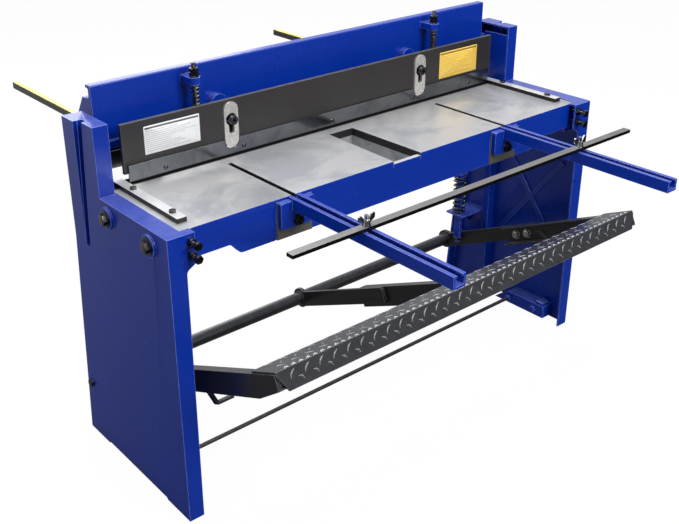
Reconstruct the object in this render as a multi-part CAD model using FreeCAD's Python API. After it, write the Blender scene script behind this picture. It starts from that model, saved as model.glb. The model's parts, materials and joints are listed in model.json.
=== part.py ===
import FreeCAD, Part
import math
import os

# Foot-operated squaring shear, in millimetres.
# X runs along the blades, the operator stands on the -Y side, Z is up.
# The origin is on the floor, under the middle of the cutting line.

# Whole machine
table_height = 784.0         # floor to the table's ground face
sheet_half = 660.0           # half of the widest sheet, between the side gauges
ram_stroke = 36.0            # travel of the upper blade
running_gap = 0.5            # between sliding faces
lap = 1.0                    # how far welded sheets run into each other

# Widths, from the middle of the machine
blade_margin = 10.0          # blades beyond the sheet
hold_margin = 5.0            # hold-down bar beyond the sheet
strip_short = 5.0            # its bright strip within the sheet
table_margin = 45.0          # table beyond the sheet
leg_margin = 48.0            # a leg's outer face beyond the table
ram_short = 7.0              # ram within the table's ends
blade_half = sheet_half + blade_margin
hold_half = sheet_half + hold_margin
strip_half = sheet_half - strip_short
table_half = sheet_half + table_margin
frame_half = table_half + leg_margin
ram_half = table_half - ram_short

# Bolts, as multiples of the thread
head_across = 1.6
head_height = 0.62
stem_sides = 12              # of a screw's stem and its hole

# Side frames, folded from sheet
leg_sheet = 5.0
leg_front = -391.0           # Y of the front face
leg_rise = 2.0               # leg's top above the table
leg_back = 132.0             # Y of the back edge at the floor
post_back = 45.0             # Y of the back edge at the post's top
post_front = -87.0
post_rise = 180.0            # post's top above the table
post_flange = 41.0           # depth of the post and of the leg's back flange
flange_foot = 42.0           # front flange's width at the floor
flange_knee = 46.0           # and below its step
flange_head = 72.0           # and above its step
knee_drop = 92.0             # foot of the step below the leg's top
knee_height = 15.0
knee_round_low = 14.0
knee_round_high = 10.0
foot_relief = 5.0            # the middle of the leg stands clear of the floor
foot_front_end = -284.0
foot_back_start = 26.0
lean_drop = 152.0            # where the post's rear strip starts to lean, below the table
lean_out = 12.0              # how far it stands out at the post's top
lean_width = 58.0
groove_width = 20.0          # pressed groove in front of the leaning strip
groove_depth = 12.0
groove_gap = 1.0             # between the groove and the strip
boss_radius = 28.0           # pads under the bed bolts
boss_height = 7.0
bed_bolt = 20.0
bed_bolt_drop = 40.0         # below the leg's top
bed_bolt_ys = (-315.0, -120.0)
adjusting_bolt = 12.0
adjusting_inset = 12.0       # within the table's end
adjusting_drops = (19.0, 52.0)
adjusting_nut = 10.0         # height of the lock nut
adjusting_head = 8.0
adjusting_reach = 34.0       # from the leg's face to the head's end
leg_top = table_height + leg_rise
post_top = table_height + post_rise
bed_bolt_height = leg_top - bed_bolt_drop

# Guides on the posts
guide_inset = 39.0           # their inner faces within the leg's outer face
guide_plate = 8.0
guide_drop = 144.0           # their foot below the table
guide_spare = 10.0           # their head above the slide's
guide_foot = table_height - guide_drop

# Stiffeners inside the legs
rib_front = -48.0
rib_width = 26.0
rib_height = 30.0
rib_foot = 64.0
rib_clear = 40.0             # below the guides
rib_sheet = 4.0
cross_middle_y = -205.0
cross_middle_z = 412.0
cross_bar_width = 16.0
cross_bar_thickness = 6.0
cross_reach = 190.0
cross_slopes = (52.0, -52.0)

# Foot bars and tie rod
foot_bar_front = -334.0
foot_bar_back = -124.0
foot_bar_slope = 56.0
foot_bar_reach = 48.0
foot_bar_foot = 10.0
foot_bar_top = 53.0
foot_bar_round = 8.0
tie_y = -183.0
tie_z = 27.0
tie_radius = 6.0

# Table and bed
table_front = -365.0
table_plate = 22.0
blade_thickness = 14.0
blade_gap = 0.2              # between the two blades
arm_x = 382.0                # middle of a support arm and its table slot
slot_width = 13.0
slot_depth = 14.0
slot_back = -94.0
trough_back = -96.0          # wide opening in the middle of the table
trough_back_half = 42.5
trough_front_half = 49.5
trough_lip_drop = 8.0        # its front lip below the table
trough_wall = 8.0
trough_depth = 72.0
apron_thickness = 14.0
apron_drop_middle = 106.0    # the apron's foot below the table
apron_drop_end = 76.0        # and beyond its steps
apron_step_inset = 136.0     # outer end of a step, within the table's end
apron_step_width = 27.0
apron_round = 16.0
pad_half_width = 54.0        # machined pads that carry the arms
pad_thickness = 4.0
rear_beam_thickness = 26.0
rear_beam_drop = 150.0
rear_beam_round = 40.0
bed_rib_thickness = 12.0
bed_rib_drop = 90.0
bed_rib_xs = (-240.0, 240.0)
end_rib_drop = 66.0          # ribs behind the apron's shallow ends
end_rib_inset = 105.0        # within the table's end
bed_end_inset = 15.0
bed_end_back = -88.5
bed_end_drop = 94.0
lower_blade_height = 50.0
bed_end_inner = table_half - bed_end_inset

# Side gauges on the table
gauge_width = 26.0
gauge_height = 12.0
gauge_front = -328.0
gauge_back = -20.0
gauge_bolt = 10.0
gauge_bolt_ys = (-288.0, -109.0)

# Support arms
arm_width = 36.0
arm_height = 31.0
arm_wall = 6.0
arm_mouth = 15.0             # opening between the arm's lips
arm_lip = 5.0
arm_front = -909.0
arm_foot_half = 52.0
arm_foot_drop = 76.0         # lower edge of its foot below the table
arm_foot_step = 7.0          # and upper edge
arm_foot_plate = 14.0
arm_foot_round = 10.0
arm_foot_round_high = 6.0
arm_bolt = 14.0
arm_bolt_drop = 60.0

# Front gauge
front_gauge_y = -626.5       # middle of the bar at rest
front_gauge_width = 22.0
front_gauge_thickness = 9.5
front_gauge_half = 598.0
clamp_screw = 10.0
clamp_head_side = 21.0
clamp_head_height = 6.0
clamp_head_drop = 8.0        # its top below the arm's top
clamp_screw_rise = 26.0      # screw's end above the bar
wing_boss_height = 14.0
wing_boss_radius = 11.0      # at its foot
wing_boss_top = 8.0          # radius at its head
wing_root = 5.0              # from the screw's middle to a wing's root
wing_reach = 24.0
wing_low = 3.0
wing_mid = 13.0
wing_high = 27.0
wing_tip = 8.0               # width of a wing's tip
wing_thickness = 4.0

# Ram
ram_rise = 246.0             # ram's top above the table
ram_face = 14.0              # Y of the beam's front face
ram_plate = 12.0
ram_cap_depth = 24.0         # depth of the bent top edge
ram_cap_sheet = 8.0
ram_foot_rise = 46.0         # plate's foot above the table
ram_box_drop = 34.0          # top of the box on the beam's back, below the ram's top
ram_box_fall = 2.0           # fall of its top towards the shoulder
ram_box_shoulder = 60.0      # Y of the box's top corner
ram_box_back = 90.0
ram_box_high = 80.0          # back face's upper edge below the ram's top
ram_box_low = 145.0
ram_box_foot_drop = 164.0
ram_box_sheet = 6.0
bolster_rise = 84.0          # raised strip above the blade, above the table
bolster_height = 18.0
bolster_proud = 12.0
blade_head_rise = 77.0       # upper blade's top above the table
blade_low_left = 31.0        # its edge at the left end
blade_low_right = 15.0       # and at the right end
slide_rise = 142.0           # slide's top above the table
slide_drop = 84.0            # and its foot below it
slide_depth = 24.0
slide_inset = 22.0           # its outer end within the leg's outer face
slide_arm_height = 36.0
lug_x = 430.0                # middle of a hold-down stud
lug_drop = 19.0              # lug's top below the ram's
lug_height = 18.0
lug_radius = 16.0
ram_top = table_height + ram_rise
ram_middle = ram_face + slide_depth / 2.0
slide_foot = table_height - slide_drop
blade_head = table_height + blade_head_rise

# Back gauge
rod_x = 528.0                # middle of a back gauge rod
rod_width = 16.0
rod_height = 20.0
rod_back = 909.0
rod_block_half = 18.0
rod_block_back = 96.0
rod_block_height = 78.0      # from the ram's box down to the rod's foot
rod_block_round = 6.0
back_gauge_y = 120.0
back_gauge_plate = 8.0
back_gauge_height = 46.0
back_gauge_shelf = 40.0
back_gauge_spare = 17.0      # beyond the rods' middles
ram_box_foot = ram_top - ram_box_foot_drop
rod_foot = ram_box_foot - rod_block_height

# Hold-down bar
hold_front = -56.0
hold_thickness = 10.0
hold_rise = 30.0             # above the table at rest
hold_height = 128.0
strip_rise = 10.0            # its bright strip above the table
strip_height = 42.0
strip_thickness = 5.0
ear_half = 28.0              # ears that carry the studs
ear_drop = 14.0              # below the bar's top
ear_plate = 10.0
ear_back = -11.0
ear_round = 8.0
key_x = 346.0                # middle of a keyhole plate and its guide bolt
key_width = 44.0
key_below = 3.0              # plate's foot below the bar's
key_within = 7.0             # its head below the bar's top
key_pocket = 4.0             # depth of its seat in the bar
key_proud = 5.0
key_clearance = 2.0
key_slot_width = 16.0
key_slot_rise = 35.0         # slot's foot above the bar's
key_eye_radius = 16.5
key_bolt = 14.0
key_bolt_rise = 74.0         # guide bolt above the bar's foot at rest
key_head_gap = 2.0
key_head_radius = 12.6
key_head_height = 11.2
key_socket_across = 11.2
key_socket_depth = 7.0
pad_width = 50.0             # obround pads on the ram behind the plates
pad_above = 56.0             # from the guide bolt to the pad's head
pad_below = 40.0
pad_front = -8.0
sleeve_radius = 11.0
stud_y = -27.0
stud = 14.0
stud_rise = 18.0             # above the ram
stud_washer = 2.5
stud_nut = 10.0
stud_nut_across = 21.7
stud_nut_gap = 1.0
lug_washer_gap = 0.3
hold_spring_radius = 10.5    # to the middle of the wire
hold_spring_wire = 4.0
hold_spring_turns = 5        # between its closed end turns
hold_foot = table_height + hold_rise
hold_top = hold_foot + hold_height
hold_back = hold_front + hold_thickness
ear_top = hold_top - ear_drop
key_bolt_z = hold_foot + key_bolt_rise
lug_top = ram_top - lug_drop
lug_foot = lug_top - lug_height

# Coils
coil_sides = 8               # flats round the wire
coil_steps = 10              # sections in a turn
coil_end_gap = 0.3           # between an end turn and the next

# Return springs and pull links
link_inset = 55.0            # within the table's end
seat_height = 301.0          # top of the spring's seat
seat_plate = 6.0
seat_front = -14.0
seat_back = 62.0
seat_reach = 24.0            # beyond the pull rod's middle
gusset_height = 70.0
gusset_foot = 12.0
gusset_head = 34.0           # outside the pull rod's middle
return_spring_top = 440.0
return_spring_radius = 20.0
return_spring_wire = 6.5
return_spring_turns = 7
pull_rod_radius = 9.0
pull_rod_gap = 0.6
collar_radius = 25.0
collar_height = 10.0
link_width = 27.0
link_thickness = 10.0
link_drop = 12.0             # its head below the seat plate at rest
link_x = table_half - link_inset

# Treadle
pivot_y = 93.0
pivot_z = 168.0
treadle_rise = 24.7          # degrees that the arms rise towards the front
pin_radius = 7.0
pin_gap = 1.5                # opened joint between pin and link
pin_spare = 6.0              # pin beyond the link
tube_radius = 20.0
tube_bore = 10.06
tube_inset = 63.0            # its end within the leg's outer face
pivot_pin_radius = 10.0
pivot_pin_depth = 70.0
pivot_end_gap = 2.0
pivot_thread = 12.0
pivot_collar_radius = 18.0
pivot_collar_gap = 1.0
treadle_top = 19.0           # the arms' top above the pivot, square to the arm
lever_gap = 5.0              # between link and lever
lever_plate = 12.0
lever_depth = 48.0
lever_end = 425.0
lever_round = 8.0
hub_radius = 32.0
channel_depth = 60.0
channel_width = 28.0
channel_sheet = 5.0
channel_start = 307.0
channel_taper = 727.0
channel_nose = 40.0          # depth left at the channel's front end
arm_bolts_along = (352.0, 400.0)
treadle_bolt = 14.0
strap_along = 440.0
strap_rise = 35.0
strap_width = 22.0
strap_run = 50.0
strap_drop = 31.0
strap_plate = 7.0
strap_toe = 48.0
board_front = 821.0
board_width = 102.0
board_lip = 52.0
board_sheet = 5.0
board_short = 3.0            # its end within the lever
board_clip = 23.0            # corner cut off the lip's ends
lever_inner = link_x + link_thickness / 2.0 + lever_gap
tube_half = frame_half - tube_inset
board_half = lever_inner - board_short

table_low = table_height - table_plate
table_rear = -blade_thickness - blade_gap
nodes = {}


def v(x, y, z):
    return FreeCAD.Vector(x, y, z)


def box(x0, x1, y0, y1, z0, z1):
    """Block between two corners."""
    return Part.makeBox(x1 - x0, y1 - y0, z1 - z0, v(x0, y0, z0))


def rod(radius, start, end):
    """Round bar from one point to another."""
    axis = end - start
    return Part.makeCylinder(radius, axis.Length, start, axis)


def join(first, *others):
    """One solid from several that touch or overlap."""
    return first.fuse(list(others)).removeSplitter()


def group(*shapes):
    """Separate solids that share a name."""
    return Part.makeCompound(list(shapes))


def outline(points, radii=None):
    """Closed wire through points, with the listed corners rounded."""
    radii = radii or {}
    stations = []
    for i, here in enumerate(points):
        radius = radii.get(i, 0.0)
        if radius == 0.0:
            stations.append((here, None, here))
            continue
        before = (points[i - 1] - here).normalize()
        after = (points[(i + 1) % len(points)] - here).normalize()
        half = before.getAngle(after) / 2.0
        reach = radius / math.tan(half)
        middle = (before + after).normalize()
        centre = here + middle * (radius / math.sin(half))
        stations.append((here + before * reach, centre - middle * radius, here + after * reach))
    edges = []
    for i, (start, bulge, end) in enumerate(stations):
        if bulge is not None:
            edges.append(Part.Arc(start, bulge, end).toShape())
        following = stations[(i + 1) % len(stations)][0]
        if end.distanceToPoint(following) > 1e-6:
            edges.append(Part.LineSegment(end, following).toShape())
    return Part.Wire(edges)


def plate_yz(pairs, x0, x1, radii=None):
    """Flat piece with an outline in Y and Z, between two values of X."""
    wire = outline([v(x0, y, z) for y, z in pairs], radii)
    return Part.Face(wire).extrude(v(x1 - x0, 0, 0))


def plate_xz(pairs, y0, y1, radii=None):
    """Flat piece with an outline in X and Z, between two values of Y."""
    wire = outline([v(x, y0, z) for x, z in pairs], radii)
    return Part.Face(wire).extrude(v(0, y1 - y0, 0))


def plate_xy(pairs, z0, z1, radii=None):
    """Flat piece with an outline in X and Y, between two values of Z."""
    wire = outline([v(x, y, z0) for x, y in pairs], radii)
    return Part.Face(wire).extrude(v(0, 0, z1 - z0))


def obround_xz(x, width, z0, z1, y0, y1):
    """Upright plate with round ends."""
    half = width / 2.0
    corners = [(x - half, z0), (x + half, z0), (x + half, z1), (x - half, z1)]
    near = half - 1e-3
    return plate_xz(corners, y0, y1, {0: near, 1: near, 2: near, 3: near})


def hexagon(across_flats, height, base, axis):
    """Hexagonal prism standing on base along axis."""
    radius = across_flats / math.sqrt(3.0)
    corners = []
    for i in range(6):
        angle = math.radians(60.0 * i)
        corners.append(v(radius * math.cos(angle), radius * math.sin(angle), 0))
    prism = Part.Face(Part.makePolygon(corners + corners[:1])).extrude(v(0, 0, height))
    prism.Placement = FreeCAD.Placement(base, FreeCAD.Rotation(v(0, 0, 1), axis))
    return prism


def stem(radius, start, end):
    """Screw's stem with few flat sides, because a thread covers the real one."""
    axis = end - start
    corners = []
    for i in range(stem_sides):
        angle = 2.0 * math.pi * i / stem_sides
        corners.append(v(radius * math.cos(angle), radius * math.sin(angle), 0))
    prism = Part.Face(Part.makePolygon(corners + corners[:1])).extrude(v(0, 0, axis.Length))
    prism.Placement = FreeCAD.Placement(start, FreeCAD.Rotation(v(0, 0, 1), axis))
    return prism


def bolt(base, axis, thread, shank):
    """Hexagon head standing on base, with a shank going the other way."""
    head = hexagon(thread * head_across, thread * head_height, base, axis)
    return join(head, stem(thread / 2.0, base - axis * shank, base))


def coil(radius, wire, foot, top, x, y, turns):
    """Compression spring about an upright axis, its first and last turn closed.

    Flat-sided sections of the wire stand along the helix and are joined by a ruled loft.
    """
    closed = wire + coil_end_gap
    rise = top - foot - wire
    pitch = (rise - 2.0 * closed) / turns
    sections = []
    for i in range((turns + 2) * coil_steps + 1):
        turn = i / coil_steps
        open_turns = min(max(turn - 1.0, 0.0), turns)
        height = foot + wire / 2.0 + closed * (turn - open_turns) + pitch * open_turns
        bearing = 2.0 * math.pi * turn
        corners = []
        for k in range(coil_sides):
            angle = 2.0 * math.pi * k / coil_sides
            reach = radius + wire / 2.0 * math.cos(angle)
            corners.append(v(x + reach * math.cos(bearing), y + reach * math.sin(bearing),
                             height + wire / 2.0 * math.sin(angle)))
        sections.append(Part.makePolygon(corners + corners[:1]))
    return Part.makeLoft(sections, True, True)


def mirrored(shape):
    """The same piece on the other side of the machine."""
    return shape.mirror(v(0, 0, 0), v(1, 0, 0))


def both_sides(name, left):
    """Two nodes, one for each side of the machine."""
    nodes["left_" + name] = left
    nodes["right_" + name] = mirrored(left)


def pair(left):
    """Left and right copies that share a node."""
    return group(*left.Solids, *mirrored(left).Solids)


def back_edge(z):
    """Y of the side frame's sloping back edge at a height."""
    return leg_back + (post_back - leg_back) * z / post_top


def groove_space(grow):
    """Space of the pressed groove, or its outside when grown by the sheet."""
    radius = groove_width / 2.0 + grow
    foot = table_height - lean_drop
    high = post_top + leg_sheet
    from_back = lean_width + groove_gap + groove_width / 2.0
    y_foot = back_edge(foot) - from_back
    y_high = back_edge(high) - from_back
    x0 = -frame_half - lean_out
    x1 = -frame_half + groove_depth + grow
    strip = plate_yz([
        (y_foot - radius, foot), (y_foot + radius, foot),
        (y_high + radius, high), (y_high - radius, high),
    ], x0, x1)
    end = rod(radius, v(x0, y_foot, foot), v(x1, y_foot, foot))
    return join(strip, end)


def lean_space(shift, inset):
    """Wedge that the post's rear strip leans out by, moved inwards and drawn in by a wall."""
    foot = table_height - lean_drop
    face = -frame_half + shift
    high = post_top - inset
    wedge = plate_xz([(face, foot), (face, post_top), (face - lean_out, post_top)],
                     post_front, leg_back)
    strip = plate_yz([
        (back_edge(foot) - lean_width + inset, foot), (back_edge(foot) - inset, foot),
        (back_edge(high) - inset, high), (back_edge(high) - lean_width + inset, high),
    ], face - lean_out, face)
    return wedge.common(strip)


def side_frame():
    """Sheet panel with folded edges, a post and a pressed groove, on the left side."""
    outer = -frame_half
    inner = outer + leg_sheet
    knee_low = leg_top - knee_drop
    panel = plate_yz([
        (leg_front, 0), (leg_front, leg_top), (post_front, leg_top), (post_front, post_top),
        (post_back, post_top), (leg_back, 0), (foot_back_start, 0),
        (foot_back_start - foot_relief, foot_relief),
        (foot_front_end + foot_relief, foot_relief), (foot_front_end, 0),
    ], outer, inner)
    front = plate_xz([
        (outer, 0), (outer + flange_foot, 0), (outer + flange_knee, knee_low),
        (outer + flange_head, knee_low + knee_height), (outer + flange_head, leg_top),
        (outer, leg_top),
    ], leg_front, leg_front + leg_sheet, {2: knee_round_low, 3: knee_round_high})
    table_side = -table_half - running_gap
    head = outer + flange_head
    step = table_front - running_gap
    top = plate_xy([
        (outer, leg_front), (head, leg_front), (head, step), (table_side, step),
        (table_side, post_front + lap), (outer, post_front + lap),
    ], leg_top - leg_sheet, leg_top)
    back = plate_yz([
        (leg_back, 0), (post_back, post_top), (post_back - leg_sheet, post_top),
        (leg_back - leg_sheet, 0),
    ], outer, outer + post_flange)
    wall = outer + post_flange
    cap = box(outer, wall, post_front, post_back, post_top - leg_sheet, post_top)
    face = box(outer, wall, post_front, post_front + leg_sheet, leg_top - leg_sheet, post_top)
    shell = join(panel, front, top, back, cap, face, lean_space(0.0, 0.0))
    shell = shell.cut(lean_space(leg_sheet, leg_sheet)).cut(groove_space(0.0))
    inside = box(outer, 0, leg_front, leg_back, 0, post_top)
    pan = groove_space(leg_sheet).common(inside).cut(groove_space(0.0))
    bosses = []
    holes = []
    for y in bed_bolt_ys:
        pad_face = v(outer - boss_height, y, bed_bolt_height)
        bosses.append(rod(boss_radius, pad_face, v(inner, y, bed_bolt_height)))
        holes.append(stem(bed_bolt / 2.0 + running_gap, pad_face, v(inner, y, bed_bolt_height)))
    holes.append(rod(pivot_pin_radius, v(outer, pivot_y, pivot_z), v(inner, pivot_y, pivot_z)))
    for drop in adjusting_drops:
        start = v(-table_half + adjusting_inset, leg_front, table_height - drop)
        holes.append(stem(adjusting_bolt / 2.0, start, start + v(0, leg_sheet, 0)))
    return join(shell, pan, *bosses).cut(group(*holes))


def frame_bolts():
    """Bolts through the bosses into the bed's ends."""
    bolts = []
    base = -frame_half - boss_height
    for y in bed_bolt_ys:
        bolts.append(bolt(v(base, y, bed_bolt_height), v(-1, 0, 0), bed_bolt,
                          -bed_end_inner - base - leg_sheet))
    return group(*bolts)


def adjusting_bolts():
    """Two screws with lock nuts in the front flange that bear on the bed."""
    bolts = []
    across = adjusting_bolt * head_across
    out = v(0, -1, 0)
    for drop in adjusting_drops:
        face = v(-table_half + adjusting_inset, leg_front, table_height - drop)
        tip = face - out * (table_front - leg_front)
        end = face + out * adjusting_reach
        nut = hexagon(across, adjusting_nut, face, out)
        head = hexagon(across, adjusting_head, end - out * adjusting_head, out)
        bolts.append(join(stem(adjusting_bolt / 2.0, tip, end), nut, head))
    return group(*bolts)


def guide_plates():
    """Two plates inside the post that the ram's slide runs between."""
    x1 = -frame_half + guide_inset
    x0 = x1 - guide_plate
    high = table_height + slide_rise + guide_spare
    front_y = ram_middle - slide_depth / 2.0 - running_gap
    rear_y = ram_middle + slide_depth / 2.0 + running_gap
    front = box(x0, x1, post_front + leg_sheet, front_y, guide_foot, high)
    rear = plate_yz([
        (rear_y, guide_foot), (back_edge(guide_foot) - leg_sheet, guide_foot),
        (back_edge(high) - leg_sheet, high), (rear_y, high),
    ], x0, x1)
    return group(front, rear)


def leg_stiffeners():
    """Upright channel and two crossed flats welded inside the leg."""
    wall = -frame_half + leg_sheet
    high = guide_foot - rib_clear
    outer = box(wall, wall + rib_height, rib_front, rib_front + rib_width, rib_foot, high)
    hollow = box(wall, wall + rib_height - rib_sheet, rib_front + rib_sheet,
                 rib_front + rib_width - rib_sheet, rib_foot, high)
    bars = []
    for slope in cross_slopes:
        bar = box(wall, wall + cross_bar_thickness, -cross_reach, cross_reach,
                  -cross_bar_width / 2.0, cross_bar_width / 2.0)
        bar.rotate(v(0, 0, 0), v(1, 0, 0), slope)
        bar.translate(v(0, cross_middle_y, cross_middle_z))
        bars.append(bar)
    return group(outer.cut(hollow), join(*bars))


def foot_bar():
    """Tapered bar at the foot of the leg that the tie rod is bolted to."""
    wall = -frame_half + leg_sheet
    return plate_yz([
        (foot_bar_front, foot_bar_foot), (foot_bar_back, foot_bar_foot),
        (foot_bar_back - foot_bar_slope, foot_bar_top), (foot_bar_front, foot_bar_top),
    ], wall, wall + foot_bar_reach, {2: foot_bar_round, 3: foot_bar_round})


def tie_rod():
    """Thin rod between the two foot bars."""
    reach = frame_half - leg_sheet - foot_bar_reach
    return rod(tie_radius, v(-reach, tie_y, tie_z), v(reach, tie_y, tie_z))


def trough_space(z0, z1, grow):
    """Tapered opening in the middle of the table, grown by a wall."""
    back = trough_back + grow
    front = table_front + apron_thickness
    return plate_xy([
        (-trough_front_half - grow, front), (trough_front_half + grow, front),
        (trough_back_half + grow, back), (-trough_back_half - grow, back),
    ], z0, z1)


def side_table():
    """Left part of the ground table, with a stop slot along its inner edge."""
    inner = -arm_x + slot_width / 2.0
    plate = box(-table_half, inner, table_front, table_rear, table_low, table_height)
    return plate.cut(box(inner - slot_width, inner, table_front, slot_back,
                         table_height - slot_depth, table_height))


def middle_table():
    """Middle part of the ground table, open over the trough."""
    half = arm_x - slot_width / 2.0
    plate = box(-half, half, table_front, table_rear, table_low, table_height)
    mouth = box(-trough_front_half, trough_front_half, table_front,
                table_front + apron_thickness, table_low, table_height)
    return plate.cut(join(trough_space(table_low, table_height, 0.0), mouth))


def bed_apron():
    """Front wall of the bed with stepped ends, a lip at the trough and pads for the arms."""
    ends = table_height - apron_drop_end
    middle = table_height - apron_drop_middle
    step_outer = table_half - apron_step_inset
    step_inner = step_outer - apron_step_width
    back = table_front + apron_thickness
    wall = plate_xz([
        (-table_half, table_low), (-table_half, ends), (-step_outer, ends),
        (-step_inner, middle), (step_inner, middle), (step_outer, ends),
        (table_half, ends), (table_half, table_low),
    ], table_front, back, {i: apron_round for i in (2, 3, 4, 5)})
    lip = box(-trough_front_half, trough_front_half, table_front, back,
              table_low, table_height - trough_lip_drop)
    pads = []
    for x in (-arm_x, arm_x):
        seat = table_front - pad_thickness
        pad = box(x - pad_half_width, x + pad_half_width, seat, table_front,
                  middle, table_height - arm_foot_step)
        pads.append(pad.cut(box(x - slot_width / 2.0, x + slot_width / 2.0, seat, table_front,
                                table_height - slot_depth, table_height)))
    return join(wall, lip, *pads)


def bed_rear_beam():
    """Back wall of the bed that the lower blade is bolted to."""
    low = table_height - rear_beam_drop
    ends = table_height - apron_drop_end
    step_outer = table_half - apron_step_inset
    front = table_rear - rear_beam_thickness
    return plate_xz([
        (-table_half, table_low), (-table_half, ends), (-step_outer, low), (step_outer, low),
        (table_half, ends), (table_half, table_low),
    ], front, table_rear, {2: rear_beam_round, 3: rear_beam_round})


def bed_ribs():
    """Cross ribs under the table and the closed trough in its middle."""
    front = table_front + apron_thickness
    back = table_rear - rear_beam_thickness
    half = bed_rib_thickness / 2.0
    end_x = table_half - end_rib_inset
    feet = {x: table_height - bed_rib_drop for x in bed_rib_xs}
    feet.update({x: table_height - end_rib_drop for x in (-end_x, end_x)})
    ribs = [box(x - half, x + half, front, back, foot, table_low) for x, foot in feet.items()]
    floor = table_height - trough_depth
    pan = trough_space(floor - trough_wall, table_low, trough_wall)
    pan = pan.cut(trough_space(floor, table_low, 0.0))
    return group(pan, *ribs)


def bed_end():
    """Block that closes the bed's left end and takes the bed bolts."""
    wall = -frame_half + leg_sheet
    front = table_front + apron_thickness
    low = box(wall, -bed_end_inner, front, bed_end_back, table_height - bed_end_drop, table_low)
    high = box(wall, -table_half, front, bed_end_back, table_low, leg_top - leg_sheet)
    block = join(low, high)
    for y in bed_bolt_ys:
        block = block.cut(stem(bed_bolt / 2.0 + running_gap, v(wall, y, bed_bolt_height),
                               v(-bed_end_inner, y, bed_bolt_height)))
    return block


def side_gauge():
    """Square steel bar on the table with two bolts."""
    high = table_height + gauge_height
    bar = box(-sheet_half - gauge_width, -sheet_half, gauge_front, gauge_back, table_height, high)
    for y in gauge_bolt_ys:
        base = v(-sheet_half - gauge_width / 2.0, y, high)
        bar = join(bar, hexagon(gauge_bolt * head_across, gauge_bolt * head_height, base,
                                v(0, 0, 1)))
    return bar


def support_arm():
    """Channel with a slotted top, on a bolted foot."""
    x0 = -arm_x - arm_width / 2.0
    x1 = -arm_x + arm_width / 2.0
    low = table_height - arm_height
    foot_low = table_height - arm_foot_drop
    foot_high = table_height - arm_foot_step
    seat = table_front - pad_thickness
    half = arm_mouth / 2.0
    bar = box(x0, x1, arm_front, seat, low, table_height)
    hollow = box(x0 + arm_wall, x1 - arm_wall, arm_front, seat - arm_foot_plate,
                 low + arm_wall, table_height - arm_lip)
    mouth = box(-arm_x - half, -arm_x + half, arm_front, seat, low + arm_wall, table_height)
    foot = plate_xz([
        (-arm_x - arm_foot_half, foot_low), (-arm_x + arm_foot_half, foot_low),
        (-arm_x + arm_foot_half, foot_high), (-arm_x - arm_foot_half, foot_high),
    ], seat - arm_foot_plate, seat, {0: arm_foot_round, 1: arm_foot_round,
                                     2: arm_foot_round_high, 3: arm_foot_round_high})
    arm = join(bar.cut(hollow), foot).cut(mouth)
    base = v(-arm_x, seat - arm_foot_plate, table_height - arm_bolt_drop)
    return join(arm, bolt(base, v(0, -1, 0), arm_bolt, arm_foot_plate))


def lower_blade():
    """Square-edged blade on the bed's back wall."""
    return box(-blade_half, blade_half, table_rear, -blade_gap,
               table_height - lower_blade_height, table_height)


def spring_seat():
    """Bracket on the leg that carries the return spring."""
    wall = -frame_half + leg_sheet
    low = seat_height - seat_plate
    top = box(wall, -link_x + seat_reach, seat_front, seat_back, low, seat_height)
    gusset = plate_xz([
        (wall, low), (wall, seat_height - gusset_height),
        (wall + gusset_foot, seat_height - gusset_height), (-link_x - gusset_head, low),
    ], seat_back - seat_plate, seat_back)
    hole = rod(pull_rod_radius + pull_rod_gap, v(-link_x, ram_middle, low),
               v(-link_x, ram_middle, seat_height))
    return join(top, gusset).cut(hole)


def pivot_pin():
    """Bolt through the leg that the treadle's tube turns on."""
    outer = v(-frame_half, pivot_y, pivot_z)
    head = bolt(outer, v(-1, 0, 0), pivot_thread, leg_sheet)
    pin = rod(pivot_pin_radius, outer, v(-tube_half + pivot_pin_depth, pivot_y, pivot_z))
    collar = rod(pivot_collar_radius, outer + v(leg_sheet, 0, 0),
                 v(-tube_half - pivot_collar_gap, pivot_y, pivot_z))
    return join(head, pin, collar)


def ram_beam():
    """Beam with a bent top edge, a box on its back, stud lugs and a bolster."""
    front = ram_face
    rear = ram_face + ram_plate
    cap = ram_face + ram_cap_depth
    foot = table_height + ram_foot_rise
    plate = plate_yz([
        (front, foot), (front, ram_top), (cap, ram_top), (cap, ram_top - ram_cap_sheet),
        (rear, ram_top - ram_cap_sheet), (rear, foot),
    ], -ram_half, ram_half, {1: ram_cap_sheet / 2.0, 4: ram_cap_sheet / 2.0})
    top = ram_top - ram_box_drop
    high = ram_top - ram_box_high
    low = ram_top - ram_box_low
    shell = plate_yz([
        (rear, top), (ram_box_shoulder, top - ram_box_fall), (ram_box_back, high),
        (ram_box_back, low), (rear, ram_box_foot),
    ], -ram_half, ram_half)
    s = ram_box_sheet
    void = plate_yz([
        (rear, top - s), (ram_box_shoulder - s / 2.0, top - s - ram_box_fall),
        (ram_box_back - s, high - s / 2.0), (ram_box_back - s, low + s / 2.0),
        (rear, ram_box_foot + s),
    ], -ram_half + s, ram_half - s)
    bolster_low = table_height + bolster_rise
    bolster = box(-ram_half, ram_half, front - bolster_proud, front,
                  bolster_low, bolster_low + bolster_height)
    beam = join(plate, shell.cut(void), bolster)
    for x in (-lug_x, lug_x):
        low_end = v(x, stud_y, lug_foot)
        high_end = v(x, stud_y, lug_top)
        lug = join(rod(lug_radius, low_end, high_end),
                   box(x - lug_radius, x + lug_radius, stud_y, front, lug_foot, lug_top))
        beam = join(beam, lug).cut(stem(stud / 2.0 + running_gap, low_end, high_end))
    return beam


def upper_blade():
    """Blade with a raked lower edge."""
    return plate_xz([
        (-blade_half, blade_head), (-blade_half, table_height + blade_low_left),
        (blade_half, table_height + blade_low_right), (blade_half, blade_head),
    ], 0.0, ram_face)


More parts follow.
